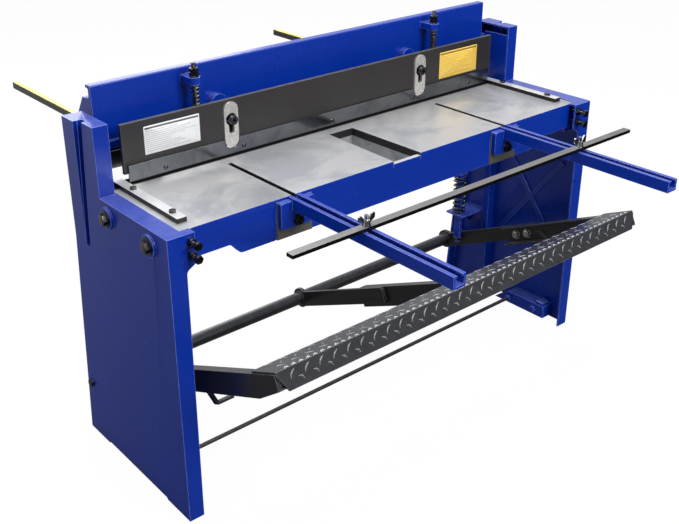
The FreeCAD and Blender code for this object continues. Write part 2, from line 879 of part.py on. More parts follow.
def ram_slide():
    """Slide at the ram's end with an arm for the pull rod."""
    y0 = ram_middle - slide_depth / 2.0
    y1 = ram_middle + slide_depth / 2.0
    reach = -frame_half + slide_inset
    upright = box(reach, -ram_half, y0, y1, slide_foot, table_height + slide_rise)
    arm = box(reach, -link_x + collar_radius, y0, y1, slide_foot, slide_foot + slide_arm_height)
    return join(upright, arm)


def pull_link():
    """Rod through the return spring with a flat link at its foot."""
    x = -link_x
    y = ram_middle
    pin_y, pin_z = link_pin()
    head = seat_height - seat_plate - link_drop
    shank = rod(pull_rod_radius, v(x, y, head), v(x, y, slide_foot))
    collar = rod(collar_radius, v(x, y, return_spring_top),
                 v(x, y, return_spring_top + collar_height))
    half = link_width / 2.0
    near = half - running_gap
    flat = plate_yz([
        (y - half, head), (y + half, head), (y + half, pin_z - half), (y - half, pin_z - half),
    ], x - link_thickness / 2.0, x + link_thickness / 2.0, {2: near, 3: near})
    reach = pin_radius + pin_gap
    drift = pin_drift()
    x0 = x - link_thickness
    x1 = x + link_thickness
    slot = join(rod(reach, v(x0, pin_y - drift, pin_z), v(x1, pin_y - drift, pin_z)),
                rod(reach, v(x0, pin_y, pin_z), v(x1, pin_y, pin_z)),
                box(x0, x1, pin_y - drift, pin_y, pin_z - reach, pin_z + reach))
    return join(flat, shank, collar).cut(slot)


def guide_pads():
    """Obround pads and sleeves on the ram's face with the bolts that keep the hold-down bar."""
    bolster_low = table_height + bolster_rise
    taken = group(box(-ram_half, ram_half, ram_face - bolster_proud, ram_face,
                      bolster_low, bolster_low + bolster_height),
                  box(-blade_half, blade_half, 0.0, ram_face, table_height, blade_head))
    pads = []
    sleeve_end = hold_back + running_gap
    face = hold_front - key_proud - key_head_gap
    for x in (-key_x, key_x):
        pad = obround_xz(x, pad_width, key_bolt_z - pad_below, key_bolt_z + pad_above,
                         pad_front, ram_face)
        sleeve = stem(sleeve_radius, v(x, sleeve_end, key_bolt_z), v(x, pad_front, key_bolt_z))
        shank = stem(key_bolt / 2.0, v(x, face, key_bolt_z), v(x, sleeve_end, key_bolt_z))
        outer = v(x, face - key_head_height, key_bolt_z)
        head = rod(key_head_radius, outer, v(x, face, key_bolt_z))
        socket = hexagon(key_socket_across, key_socket_depth, outer, v(0, 1, 0))
        pads.append(join(pad.cut(taken), sleeve, shank, head).cut(socket))
    return group(*pads)


def gauge_rod():
    """Flat bar behind the ram that carries the back gauge."""
    x = -rod_x
    rear = ram_face + ram_plate
    bar = box(x - rod_width / 2.0, x + rod_width / 2.0, rear, rod_back,
              rod_foot, rod_foot + rod_height)
    block = plate_yz([
        (rear, rod_foot), (rod_block_back, rod_foot), (rod_block_back, rod_foot + rod_height),
        (rear + rod_height, ram_box_foot), (rear, ram_box_foot),
    ], x - rod_block_half, x + rod_block_half, {2: rod_block_round})
    return join(bar, block)


def back_gauge():
    """Angle that stands across the two gauge rods."""
    y = back_gauge_y
    half = rod_x + back_gauge_spare
    low = rod_foot - back_gauge_plate
    face = box(-half, half, y, y + back_gauge_plate, low - back_gauge_height + rod_height, rod_foot)
    shelf = box(-half, half, y, y + back_gauge_shelf, low, rod_foot)
    return join(face, shelf)


def key_outline(x, grow, y0, y1):
    """Obround of a keyhole plate, grown by its clearance."""
    return obround_xz(x, key_width + 2.0 * grow, hold_foot - key_below - grow,
                      hold_top - key_within + grow, y0, y1)


def hold_down_bar():
    """Bar with two obround pockets, slots for the guide bolts and ears for the studs."""
    bar = box(-hold_half, hold_half, hold_front, hold_back, hold_foot, hold_top)
    width = key_slot_width + 2.0 * key_clearance
    slot_foot = hold_foot + key_slot_rise - key_clearance
    for x in (-key_x, key_x):
        bar = bar.cut(key_outline(x, key_clearance, hold_front, hold_front + key_pocket))
        bar = bar.cut(obround_xz(x, width, slot_foot, key_bolt_z + width / 2.0,
                                 hold_front, hold_back))
    for x in (-lug_x, lug_x):
        ear = plate_xy([
            (x - ear_half, hold_back - lap), (x + ear_half, hold_back - lap),
            (x + ear_half, ear_back), (x - ear_half, ear_back),
        ], ear_top - ear_plate, ear_top, {2: ear_round, 3: ear_round})
        bar = join(bar, ear)
    return bar


def hold_down_strip():
    """Polished strip on the front of the bar."""
    low = table_height + strip_rise
    strip = box(-strip_half, strip_half, hold_front - strip_thickness, hold_front,
                low, low + strip_height)
    for x in (-key_x, key_x):
        strip = strip.cut(key_outline(x, key_clearance, hold_front - strip_thickness, hold_front))
    return strip


def keyhole_plates():
    """Bright plates whose keyhole slots slide on the guide bolts."""
    plates = []
    y0 = hold_front - key_proud
    y1 = hold_front + key_pocket
    for x in (-key_x, key_x):
        eye = rod(key_eye_radius, v(x, y0, key_bolt_z), v(x, y1, key_bolt_z))
        slot = obround_xz(x, key_slot_width, hold_foot + key_slot_rise, key_bolt_z, y0, y1)
        plates.append(key_outline(x, 0.0, y0, y1).cut(join(eye, slot)))
    return group(*plates)


def hold_down_studs():
    """Studs that hang the bar from the ram's lugs, each with two nuts."""
    studs = []
    washer_low = lug_top + lug_washer_gap
    nut_low = washer_low + stud_washer
    for x in (-lug_x, lug_x):
        shank = stem(stud / 2.0, v(x, stud_y, ear_top), v(x, stud_y, ram_top + stud_rise))
        washer = rod(stud_nut_across / 2.0 + lap, v(x, stud_y, washer_low), v(x, stud_y, nut_low))
        nuts = []
        for z in (nut_low, nut_low + stud_nut + stud_nut_gap):
            nuts.append(hexagon(stud_nut_across, stud_nut, v(x, stud_y, z), v(0, 0, 1)))
        studs.append(join(shank, washer, *nuts))
    return group(*studs)


def hold_down_springs():
    """Springs on the studs between the bar's ears and the ram's lugs."""
    springs = []
    for x in (-lug_x, lug_x):
        springs.append(coil(hold_spring_radius, hold_spring_wire, ear_top, lug_foot,
                            x, stud_y, hold_spring_turns))
    return group(*springs)


def return_springs():
    """Springs that lift the ram and the treadle again."""
    springs = []
    for x in (-link_x, link_x):
        springs.append(coil(return_spring_radius, return_spring_wire, seat_height,
                            return_spring_top, x, ram_middle, return_spring_turns))
    return group(*springs)


def arm_point(along, across):
    """Y and Z of a point measured along a treadle arm and square to it."""
    angle = math.radians(treadle_rise)
    y = pivot_y - along * math.cos(angle) + across * math.sin(angle)
    z = pivot_z + along * math.sin(angle) + across * math.cos(angle)
    return y, z


def link_pin():
    """Centre of the link pin at rest, straight below the pull rod."""
    z = pivot_z + (pivot_y - ram_middle) * math.tan(math.radians(treadle_rise))
    return ram_middle, z


def pin_swing():
    """Radius and start angle of the link pin's arc and the swing of a full stroke."""
    y, z = link_pin()
    radius = math.hypot(pivot_y - y, z - pivot_z)
    start = math.asin((z - pivot_z) / radius)
    end = math.asin((z - pivot_z - ram_stroke) / radius)
    return radius, start, start - end


def pin_drift():
    """How far the link pin moves forward on its arc."""
    radius, start, swing = pin_swing()
    return radius - radius * math.cos(start)


def along_arm(pairs, x0, x1, radii=None):
    """Plate with an outline along and square to a treadle arm."""
    return plate_yz([arm_point(a, s) for a, s in pairs], x0, x1, radii)


def treadle_lever(x0, x1, with_pin):
    """Flat lever welded to the tube."""
    low = treadle_top - lever_depth
    blade = along_arm([(0, treadle_top), (lever_end, treadle_top), (lever_end, low), (0, low)],
                      x0, x1, {1: lever_round, 2: lever_round})
    hub = rod(hub_radius, v(x0, pivot_y, pivot_z), v(x1, pivot_y, pivot_z))
    lever = join(blade, hub)
    if with_pin:
        pin_y, pin_z = link_pin()
        reach = -link_x + link_thickness / 2.0 + pin_spare
        lever = join(lever, rod(pin_radius, v(x0, pin_y, pin_z), v(reach, pin_y, pin_z)))
    bore = rod(tube_radius, v(x0, pivot_y, pivot_z), v(x1, pivot_y, pivot_z))
    return lever.cut(bore)


def treadle_arm(web, direction):
    """Channel from the lever to the board; its web is at one X and its flanges go inward."""
    low = treadle_top - channel_depth
    nose = treadle_top - channel_nose
    end = board_front - board_sheet
    far = web + direction * channel_width
    solid = along_arm([
        (channel_start, treadle_top), (end, treadle_top), (end, nose), (channel_taper, low),
        (channel_start, low),
    ], min(web, far), max(web, far))
    s = channel_sheet
    open_from = web + direction * s
    open_to = web + direction * (channel_width + s)
    hollow = along_arm([
        (channel_start - s, treadle_top - s), (end + s, treadle_top - s), (end + s, nose + s),
        (channel_taper, low + s), (channel_start - s, low + s),
    ], min(open_from, open_to), max(open_from, open_to))
    arm = solid.cut(hollow)
    for along in arm_bolts_along:
        y, z = arm_point(along, treadle_top - channel_depth / 2.0)
        arm = join(arm, hexagon(treadle_bolt * head_across, treadle_bolt * head_height,
                                v(open_from, y, z), v(direction, 0, 0)))
    return arm


def stop_strap(web, direction):
    """Bent strap under a side arm."""
    x0 = web + direction * channel_sheet
    x1 = x0 + direction * strap_plate
    far = x0 + direction * strap_toe
    channel_low = treadle_top - channel_depth
    high = channel_low + strap_rise
    low = channel_low - strap_drop
    root = (strap_along, strap_along + strap_width)
    tip = (root[0] + strap_run, root[1] + strap_run)
    leg = along_arm([(root[0], high), (root[1], high), (tip[1], low), (tip[0], low)],
                    min(x0, x1), max(x0, x1))
    toe = along_arm([(tip[0], low), (tip[1], low), (tip[1], low + strap_plate),
                     (tip[0], low + strap_plate)], min(x0, far), max(x0, far))
    return join(leg, toe)


def treadle_board():
    """Tread plate folded down at the front, with clipped corners."""
    top = treadle_top + board_sheet
    low = top - board_lip
    back = board_front - board_width
    deck = along_arm([(back, treadle_top), (back, top), (board_front, top),
                      (board_front, treadle_top)], -board_half, board_half)
    lip = along_arm([(board_front - board_sheet, treadle_top), (board_front, treadle_top),
                     (board_front, low), (board_front - board_sheet, low)],
                    -board_half, board_half)
    board = join(deck, lip)
    behind = board_front - 2.0 * board_sheet
    y0, z0 = arm_point(behind, treadle_top - board_sheet)
    y1, z1 = arm_point(behind, low - lap)
    y2, z2 = arm_point(board_front + board_sheet, treadle_top - board_sheet)
    forward = v(0, y2 - y0, z2 - z0)
    for side in (-1.0, 1.0):
        beyond = side * (board_half + lap)
        corner = Part.makePolygon([v(beyond, y0, z0), v(beyond, y1, z1),
                                   v(side * (board_half - board_clip), y1, z1), v(beyond, y0, z0)])
        board = board.cut(Part.Face(corner).extrude(forward))
    return board


def treadle_tube():
    """Tube that the levers are welded to, with a bore for the pivot bolts."""
    tube = rod(tube_radius, v(-tube_half, pivot_y, pivot_z), v(tube_half, pivot_y, pivot_z))
    bore_end = tube_half - pivot_pin_depth - pivot_end_gap
    for side in (-1.0, 1.0):
        tube = tube.cut(rod(tube_bore, v(side * tube_half, pivot_y, pivot_z),
                            v(side * bore_end, pivot_y, pivot_z)))
    return tube


def front_gauge_clamps():
    """T-bolts in the arms with wing nuts on top of the bar."""
    clamps = []
    y = front_gauge_y
    top = table_height + running_gap + front_gauge_thickness
    half = clamp_head_side / 2.0
    head_top = table_height - clamp_head_drop
    for x in (-arm_x, arm_x):
        head = box(x - half, x + half, y - half, y + half, head_top - clamp_head_height, head_top)
        shank = stem(clamp_screw / 2.0, v(x, y, head_top), v(x, y, top + clamp_screw_rise))
        boss = Part.makeCone(wing_boss_radius, wing_boss_top, wing_boss_height, v(x, y, top),
                             v(0, 0, 1))
        wings = []
        for side in (-1.0, 1.0):
            root = x + side * wing_root
            tip = x + side * wing_reach
            wings.append(plate_xz([
                (root, top + wing_low), (tip, top + wing_boss_height), (tip, top + wing_high),
                (tip - side * wing_tip, top + wing_high), (root, top + wing_mid),
            ], y - wing_thickness / 2.0, y + wing_thickness / 2.0,
                {1: wing_root, 2: wing_low, 3: wing_low}))
        clamps.append(join(head, shank, boss, *wings))
    return group(*clamps)


def front_gauge_bar():
    """Flat bar across both support arms."""
    low = table_height + running_gap
    high = low + front_gauge_thickness
    bar = box(-front_gauge_half, front_gauge_half, front_gauge_y - front_gauge_width / 2.0,
              front_gauge_y + front_gauge_width / 2.0, low, high)
    for x in (-arm_x, arm_x):
        bar = bar.cut(stem(clamp_screw / 2.0 + running_gap, v(x, front_gauge_y, low),
                           v(x, front_gauge_y, high)))
    return bar


both_sides("side_frame", side_frame())
nodes["frame_bolts"] = pair(frame_bolts())
nodes["adjusting_bolts"] = pair(adjusting_bolts())
nodes["guide_plates"] = pair(guide_plates())
nodes["leg_stiffeners"] = pair(leg_stiffeners())
nodes["foot_bars"] = pair(foot_bar())
nodes["tie_rod"] = tie_rod()
both_sides("table", side_table())
nodes["middle_table"] = middle_table()
nodes["bed_apron"] = bed_apron()
nodes["bed_rear_beam"] = bed_rear_beam()
nodes["bed_ribs"] = bed_ribs()
nodes["bed_ends"] = pair(bed_end())
nodes["lower_blade"] = lower_blade()
nodes["side_gauges"] = pair(side_gauge())
both_sides("support_arm", support_arm())
nodes["spring_seats"] = pair(spring_seat())
nodes["pivot_pins"] = pair(pivot_pin())
nodes["return_springs"] = return_springs()
nodes["ram_beam"] = ram_beam()
nodes["upper_blade"] = upper_blade()
nodes["ram_slides"] = pair(ram_slide())
both_sides("pull_link", pull_link())
nodes["guide_pads"] = guide_pads()
nodes["gauge_rods"] = pair(gauge_rod())
nodes["back_gauge"] = back_gauge()
nodes["hold_down_bar"] = hold_down_bar()
nodes["hold_down_strip"] = hold_down_strip()
nodes["keyhole_plates"] = keyhole_plates()
nodes["hold_down_studs"] = hold_down_studs()
nodes["hold_down_springs"] = hold_down_springs()
nodes["treadle_tube"] = treadle_tube()
both_sides("treadle_lever", treadle_lever(-lever_inner - lever_plate, -lever_inner, True))
nodes["middle_treadle_lever"] = treadle_lever(-lever_plate, 0.0, False)
both_sides("treadle_arm", join(treadle_arm(-lever_inner, 1.0), stop_strap(-lever_inner, 1.0)))
nodes["middle_treadle_arm"] = treadle_arm(0.0, 1.0)
nodes["treadle_board"] = treadle_board()
nodes["front_gauge_bar"] = front_gauge_bar()
nodes["front_gauge_clamps"] = front_gauge_clamps()

radius, start, swing = pin_swing()
print("treadle's swing over a full stroke:", round(math.degrees(swing), 2), "degrees")

os.makedirs("parts", exist_ok=True)
for node, shape in nodes.items():
    shape.exportStep("parts/" + node + ".step")
    print(node, len(shape.Solids), round(shape.Volume / 1e6, 3), shape.isValid())
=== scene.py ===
import json
import math

import bmesh
import bpy
import numpy as np
from mathutils import Matrix


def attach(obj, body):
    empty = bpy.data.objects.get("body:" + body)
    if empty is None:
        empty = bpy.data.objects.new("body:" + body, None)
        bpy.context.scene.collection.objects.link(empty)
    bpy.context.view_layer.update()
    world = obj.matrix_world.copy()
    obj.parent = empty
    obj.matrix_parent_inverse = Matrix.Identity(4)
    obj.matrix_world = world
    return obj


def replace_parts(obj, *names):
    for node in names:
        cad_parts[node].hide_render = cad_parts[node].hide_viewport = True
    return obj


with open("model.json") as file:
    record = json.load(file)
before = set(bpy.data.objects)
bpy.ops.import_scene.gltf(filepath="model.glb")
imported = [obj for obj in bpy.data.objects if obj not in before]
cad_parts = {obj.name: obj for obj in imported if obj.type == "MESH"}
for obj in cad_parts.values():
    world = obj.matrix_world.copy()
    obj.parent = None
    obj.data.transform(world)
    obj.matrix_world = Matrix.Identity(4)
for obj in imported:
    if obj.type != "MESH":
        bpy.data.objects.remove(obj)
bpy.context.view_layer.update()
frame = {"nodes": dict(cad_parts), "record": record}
cad_nodes = frame["nodes"]
record = frame["record"]
scene = bpy.context.scene

MM = 0.001

# Places on the machine that the finishes follow, in millimetres
TABLE_TOP = 784.0
TABLE_LOW = 762.0            # where the table lies on the apron
TABLE_FRONT = -365.0
GAUGE_TOP = 796.0            # side gauges
TROUGH_REACH = 70.0          # beyond the trough's walls
HOLD_BACK = -46.0            # back of the hold-down bar
SEAM_REACH = 3.0             # how far from a flush joint no painted edge highlight is laid
STRIP_FACE = -61.0           # front of the hold-down bar's bright strip
BAR_FACE = -56.0             # front of the hold-down bar
LEG_FRONT = -391.0
BOSS_FACE = 760.0            # bosses on the legs' outer sides
ARM_FOOT_FACE = -383.0       # feet of the support arms
ARM_FOOT_BOLT = (382.0, 724.0)
GAUGE_ROD_X = 528.0
GAUGE_ROD_TOP = 808.0
SHADE_FADE = 6.0               # width over which the painted shade begins

# Treadle, from its pivot, along the arms and square to them
PIVOT_Y = 0.093
PIVOT_Z = 0.168
TREADLE_RISE = math.radians(24.7)
BOARD_FRONT = 0.821
BOARD_BACK = 0.719
BOARD_TOP = 0.024
BOARD_HALF = 0.657
LENS_PITCH = 41.0 * MM
LENS_WIDTH = 2.3 * MM        # half of it
LENS_RISE = 1.5 * MM
LENS_BOW = 3.6 * MM
LENS_STEEP = math.radians(50.0)
LENS_FLAT = math.radians(-40.0)


# Shapes: every function returns corner points and faces as arrays

def at(x, y, z):
    """Point given in millimetres."""
    return np.array([x, y, z]) * MM


def patch(points, wrap_u=False, wrap_v=False):
    """Surface through a grid of points of shape (u, v, 3), each cell one four-sided face."""
    nu, nv = points.shape[:2]
    u = np.arange(nu if wrap_u else nu - 1)
    w = np.arange(nv if wrap_v else nv - 1)
    uu, ww = np.meshgrid(u, w, indexing="ij")
    u1 = (uu + 1) % nu
    w1 = (ww + 1) % nv
    quads = np.stack([uu * nv + ww, u1 * nv + ww, u1 * nv + w1, uu * nv + w1], axis=-1)
    return points.reshape(-1, 3), quads.reshape(-1, 4)


def merged(parts):
    """One set of corners and faces from several, each shifted behind the one before."""
    corners = np.concatenate([p[0] for p in parts])
    starts = np.cumsum([0] + [len(p[0]) for p in parts[:-1]])
    faces = np.concatenate([p[1] + s for p, s in zip(parts, starts)])
    return corners, faces


def frame_of(axis):
    """Two directions square to an axis, and the axis itself, as rows."""
    axis = np.asarray(axis, float)
    axis = axis / np.linalg.norm(axis)
    side = np.cross(axis, [0.0, 0.0, 1.0] if abs(axis[2]) < 0.9 else [1.0, 0.0, 0.0])
    side = side / np.linalg.norm(side)
    return side, np.cross(axis, side), axis


def turned(profile, centre, axis, steps=40):
    """Profile of radius and height turned about an axis: P = c + h a + r (cos t s + sin t b)."""
    side, up, along = frame_of(axis)
    profile = np.asarray(profile, float)
    t = np.linspace(0.0, 2.0 * math.pi, steps, endpoint=False)
    ring = np.cos(t)[:, None] * side + np.sin(t)[:, None] * up
    points = (np.asarray(centre, float) + profile[None, :, 1, None] * along
              + profile[None, :, 0, None] * ring[:, None, :])
    return patch(points, wrap_u=True)


def hexagonal(across, height, centre, axis, crown=0.93, steps=72):
    """Hexagon head whose corners are turned off by a 30 degree cone above the crown radius."""
    side, up, along = frame_of(axis)
    t = np.linspace(0.0, 2.0 * math.pi, steps, endpoint=False)
    flat = across / 2.0
    rim = flat / np.cos((t % (math.pi / 3.0)) - math.pi / 6.0)
    top = crown * flat
    shoulder = height - (rim - top) * math.tan(math.pi / 6.0)
    zero = np.zeros_like(t)
    radius = np.stack([zero, rim, rim, zero + top, zero], axis=1)
    level = np.stack([zero, zero, shoulder, zero + height, zero + height], axis=1)
    ring = np.cos(t)[:, None] * side + np.sin(t)[:, None] * up
    points = (np.asarray(centre, float) + level[..., None] * along
              + radius[..., None] * ring[:, None, :])
    return patch(points, wrap_u=True)


def washer(radius, thickness, centre, axis):
    """Flat ring with a rounded rim, closed over its bolt."""
    edge = thickness * 0.35
    return turned([(0, 0), (radius, 0), (radius, thickness - edge), (radius - edge, thickness),
                   (0, thickness)], centre, axis)


def threaded(radius, pitch, start, end, steps=28):
    """Screw thread: the radius falls and rises with the height less the turn, r = R - d |saw|."""
    start = np.asarray(start, float)
    axis = np.asarray(end, float) - start
    length = np.linalg.norm(axis)
    side, up, along = frame_of(axis)
    t = np.linspace(0.0, 2.0 * math.pi, steps, endpoint=False)
    h = np.linspace(0.0, length, max(int(length / pitch * 6.0), 4))
    turn = (h[None, :] / pitch - t[:, None] / (2.0 * math.pi)) % 1.0
    r = radius - 0.45 * pitch * np.abs(2.0 * turn - 1.0)
    r[:, -1] = radius * 0.78
    ring = np.cos(t)[:, None] * side + np.sin(t)[:, None] * up
    body = start + h[None, :, None] * along + r[..., None] * ring[:, None, :]
    foot = np.broadcast_to(start, (steps, 1, 3))
    head = np.broadcast_to(start + length * along, (steps, 1, 3))
    return patch(np.concatenate([foot, body, head], axis=1), wrap_u=True)


def lens(centre, along, across, out, half_length, half_width, height, bow):
    """Raised lens of tread plate: height h (1 - u^2)^0.5 (1 - v^2) over a pointed oval.

    Its middle line is the parabola bow (1 - u^2) to the side, and it is closed below.
    """
    u = np.linspace(-1.0, 1.0, 11)
    w = np.linspace(-1.0, 1.0, 5)
    uu, ww = np.meshgrid(u, w, indexing="ij")
    wide = half_width * (1.0 - uu ** 2)
    rise = height * (1.0 - uu ** 2) ** 0.5 * (1.0 - ww ** 2)
    sink = np.full_like(rise, -0.2 * MM)
    flat = (np.asarray(centre, float) + uu[..., None] * half_length * along
            + (ww * wide + bow * (1.0 - uu ** 2))[..., None] * across)
    upper = flat + (rise + sink)[..., None] * out
    lower = flat + sink[..., None] * out
    return merged([patch(upper), patch(lower[:, ::-1])])


def tube_along(path, radius, steps=16):
    """Ring carried square to a path, P = c + r (cos t s + sin t b), with closed ends.

    The radius is one number, or one at each point of the path.
    """
    path = np.asarray(path, float)
    tangent = np.gradient(path, axis=0)
    tangent = tangent / np.linalg.norm(tangent, axis=1)[:, None]
    side = np.cross(tangent, np.broadcast_to(frame_of(tangent[0])[0], tangent.shape))
    side = side / np.linalg.norm(side, axis=1)[:, None]
    up = np.cross(tangent, side)
    t = np.linspace(0.0, 2.0 * math.pi, steps, endpoint=False)
    radius = np.broadcast_to(np.asarray(radius, float), (len(path),))
    ring = (np.cos(t)[None, :, None] * side[:, None, :]
            + np.sin(t)[None, :, None] * up[:, None, :])
    body = path[:, None, :] + radius[:, None, None] * ring
    first = np.broadcast_to(path[0], (1, steps, 3))
    last = np.broadcast_to(path[-1], (1, steps, 3))
    return patch(np.concatenate([first, body, last]), wrap_v=True)


def slab(centre, right, up, out, half_w, half_h, thick, round_corner):
    """Thin plate with round corners: superellipse corners on a rectangle, rim bevelled."""
    t = np.linspace(0.0, 2.0 * math.pi, 64, endpoint=False)
    c = np.cos(t)
    s = np.sin(t)
    x = np.sign(c) * (half_w - round_corner) + c * round_corner
    y = np.sign(s) * (half_h - round_corner) + s * round_corner
    rim = thick * 0.3
    levels = np.array([0.0, 0.0, thick - rim, thick, thick])
    shrink = np.array([0.0, 1.0, 1.0, 1.0, 0.0])
    inset = np.array([0.0, 0.0, 0.0, rim, 0.0])
    px = x[:, None] * shrink - np.sign(x)[:, None] * inset
    py = y[:, None] * shrink - np.sign(y)[:, None] * inset
    points = (np.asarray(centre, float) + px[..., None] * right + py[..., None] * up
              + levels[None, :, None] * out)
    return patch(points, wrap_u=True)


def piece(name, parts, material, body, sharp=35.0):
    """Object from joined surfaces, riding on a body, with faces turned outwards."""
    corners, faces = merged(parts)
    mesh = bpy.data.meshes.new(name)
    mesh.from_pydata(corners.tolist(), [], faces.tolist())
    work = bmesh.new()
    work.from_mesh(mesh)
    bmesh.ops.remove_doubles(work, verts=work.verts, dist=2e-6)
    bmesh.ops.dissolve_degenerate(work, edges=work.edges, dist=1e-7)
    bmesh.ops.recalc_face_normals(work, faces=work.faces)
    work.to_mesh(mesh)
    work.free()
    mesh.shade_smooth()
    mesh.set_sharp_from_angle(angle=math.radians(sharp))
    mesh.materials.append(material)
    obj = bpy.data.objects.new(name, mesh)
    scene.collection.objects.link(obj)
    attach(obj, body)
    return obj


body_of_node = {}
for body, names in record["behaviour"]["bodies"].items():
    body_of_node.update({name: body for name in names})
SHARP_ANGLE = math.radians(32.0)


def softened(name, material, width, others=(), seam=None):
    """Copy of a CAD node with its corners joined and its edges rounded, in the node's place.

    Each of the others is a material and a test of a face's centre and normal in millimetres.
    An edge whose middle passes the seam test stays sharp, because a flush piece goes on there.
    """
    mesh = cad_nodes[name].data.copy()
    mesh.name = name + "_finished"
    work = bmesh.new()
    work.from_mesh(mesh)
    bmesh.ops.remove_doubles(work, verts=work.verts, dist=1e-5)
    bmesh.ops.dissolve_limit(work, angle_limit=math.radians(0.6), verts=work.verts,
                             edges=work.edges, delimit={"NORMAL"})
    weight = work.edges.layers.float.new("bevel_weight_edge")
    for edge in work.edges:
        middle = (edge.verts[0].co + edge.verts[1].co) / 2.0 / MM
        plain = seam is not None and seam(middle)
        edge[weight] = float(edge.calc_face_angle(0.0) > SHARP_ANGLE and not plain)
    work.to_mesh(mesh)
    work.free()
    mesh.materials.clear()
    mesh.materials.append(material)
    for index, (other, test) in enumerate(others, start=1):
        mesh.materials.append(other)
        for face in mesh.polygons:
            if test(face.center / MM, face.normal):
                face.material_index = index
    mesh.shade_smooth()
    mesh.set_sharp_from_angle(angle=SHARP_ANGLE)
    obj = bpy.data.objects.new(name + "_finished", mesh)
    scene.collection.objects.link(obj)
    bevel = obj.modifiers.new("rounded edges", "BEVEL")
    bevel.width = width
    bevel.segments = 2
    bevel.limit_method = "WEIGHT"
    bevel.harden_normals = True
    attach(obj, body_of_node[name])
    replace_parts(obj, name)
    return obj


# Shader groups, each built once

def new_group(name, inputs, outputs):
    """Empty shader group with float, vector or colour sockets."""
    group = bpy.data.node_groups.new(name, "ShaderNodeTree")
    for label, kind, value in inputs:
        socket = group.interface.new_socket(label, in_out="INPUT", socket_type="NodeSocket" + kind)
        socket.default_value = value
    for label, kind in outputs:
        group.interface.new_socket(label, in_out="OUTPUT", socket_type="NodeSocket" + kind)
    source = group.nodes.new("NodeGroupInput")
    sink = group.nodes.new("NodeGroupOutput")
    return group, source, sink


def ramp(tree, value, stops):
    """Colour ramp from grey levels or colours at positions."""
    node = tree.nodes.new("ShaderNodeValToRGB")
    node.color_ramp.elements[0].position = stops[0][0]
    node.color_ramp.elements[1].position = stops[-1][0]
    for position, _ in stops[1:-1]:
        node.color_ramp.elements.new(position)
    for element, (_, colour) in zip(node.color_ramp.elements, stops):
        grey = (colour, colour, colour, 1.0)
        element.color = grey if isinstance(colour, float) else (*colour, 1.0)
    tree.links.new(value, node.inputs["Fac"])
    return node.outputs["Color"]


def set_input(tree, socket, value):
    """Number, colour or another node's output put into an input."""
    if isinstance(value, tuple):
        socket.default_value = (*value, 1.0)
    elif isinstance(value, (int, float)):
        socket.default_value = value
    else:
        tree.links.new(value, socket)


def noise(tree, vector, scale, detail=3.0, rough=0.5, distort=0.0):
    """Fractal noise at a point, between 0 and 1."""
    node = tree.nodes.new("ShaderNodeTexNoise")
    set_input(tree, node.inputs["Scale"], scale)
    node.inputs["Detail"].default_value = detail
    node.inputs["Roughness"].default_value = rough
    node.inputs["Distortion"].default_value = distort
    tree.links.new(vector, node.inputs["Vector"])
    return node.outputs["Fac"]


def math_node(tree, operation, a, b=None):
    """Result of one operation on numbers or sockets."""
    node = tree.nodes.new("ShaderNodeMath")
    node.operation = operation
    set_input(tree, node.inputs[0], a)
    if b is not None:
        set_input(tree, node.inputs[1], b)
    return node.outputs["Value"]


def make_edge_highlight():
    """Mask that is 1 on outer edges, for a painted edge highlight: how far a rounded normal leaves
    the true one, broken up.
    """
    group, source, sink = new_group(
        "edge_highlight", [("Vector", "Vector", (0, 0, 0)), ("Radius", "Float", 2.2 * MM),
                      ("Breakup", "Float", 60.0)], [("Mask", "Float")])
    bevel = group.nodes.new("ShaderNodeBevel")
    bevel.samples = 4
    group.links.new(source.outputs["Radius"], bevel.inputs["Radius"])
    geometry = group.nodes.new("ShaderNodeNewGeometry")
    dot = group.nodes.new("ShaderNodeVectorMath")
    dot.operation = "DOT_PRODUCT"
    group.links.new(bevel.outputs["Normal"], dot.inputs[0])
    group.links.new(geometry.outputs["Normal"], dot.inputs[1])
    away = math_node(group, "SUBTRACT", 1.0, dot.outputs["Value"])
    patchy = noise(group, source.outputs["Vector"], source.outputs["Breakup"], 2.0)
    strong = math_node(group, "MULTIPLY", away, patchy)
    mask = ramp(group, strong, [(0.015, 0.0), (0.07, 1.0)])
    group.links.new(mask, sink.inputs["Mask"])
    return group


def make_orange_peel():
    """Height and tone of sprayed paint: a fine ripple over slow unevenness."""
    group, source, sink = new_group(
        "orange_peel", [("Vector", "Vector", (0, 0, 0)), ("Scale", "Float", 420.0)],
        [("Height", "Float"), ("Tone", "Float")])
    fine = noise(group, source.outputs["Vector"], source.outputs["Scale"], 2.0)
    slow = noise(group, source.outputs["Vector"], 5.0, 3.0, 0.55)
    group.links.new(fine, sink.inputs["Height"])
    group.links.new(slow, sink.inputs["Tone"])
    return group


def make_grinding():
    """Long fine scratches: noise stretched along one axis, with cloudy handling stains."""
    group, source, sink = new_group(
        "grinding", [("Vector", "Vector", (0, 0, 0)), ("Stretch", "Vector", (2.0, 180.0, 180.0)),
                     ("Cloud", "Float", 5.0)],
        [("Lines", "Float"), ("Stain", "Float")])
    scaled = group.nodes.new("ShaderNodeVectorMath")
    scaled.operation = "MULTIPLY"
    group.links.new(source.outputs["Vector"], scaled.inputs[0])
    group.links.new(source.outputs["Stretch"], scaled.inputs[1])
    lines = noise(group, scaled.outputs["Vector"], 6.0, 4.0, 0.65)
    cloud = noise(group, source.outputs["Vector"], source.outputs["Cloud"], 5.0, 0.62, 0.6)
    stain = ramp(group, cloud, [(0.44, 0.0), (0.62, 1.0)])
    group.links.new(lines, sink.inputs["Lines"])
    group.links.new(stain, sink.inputs["Stain"])
    return group


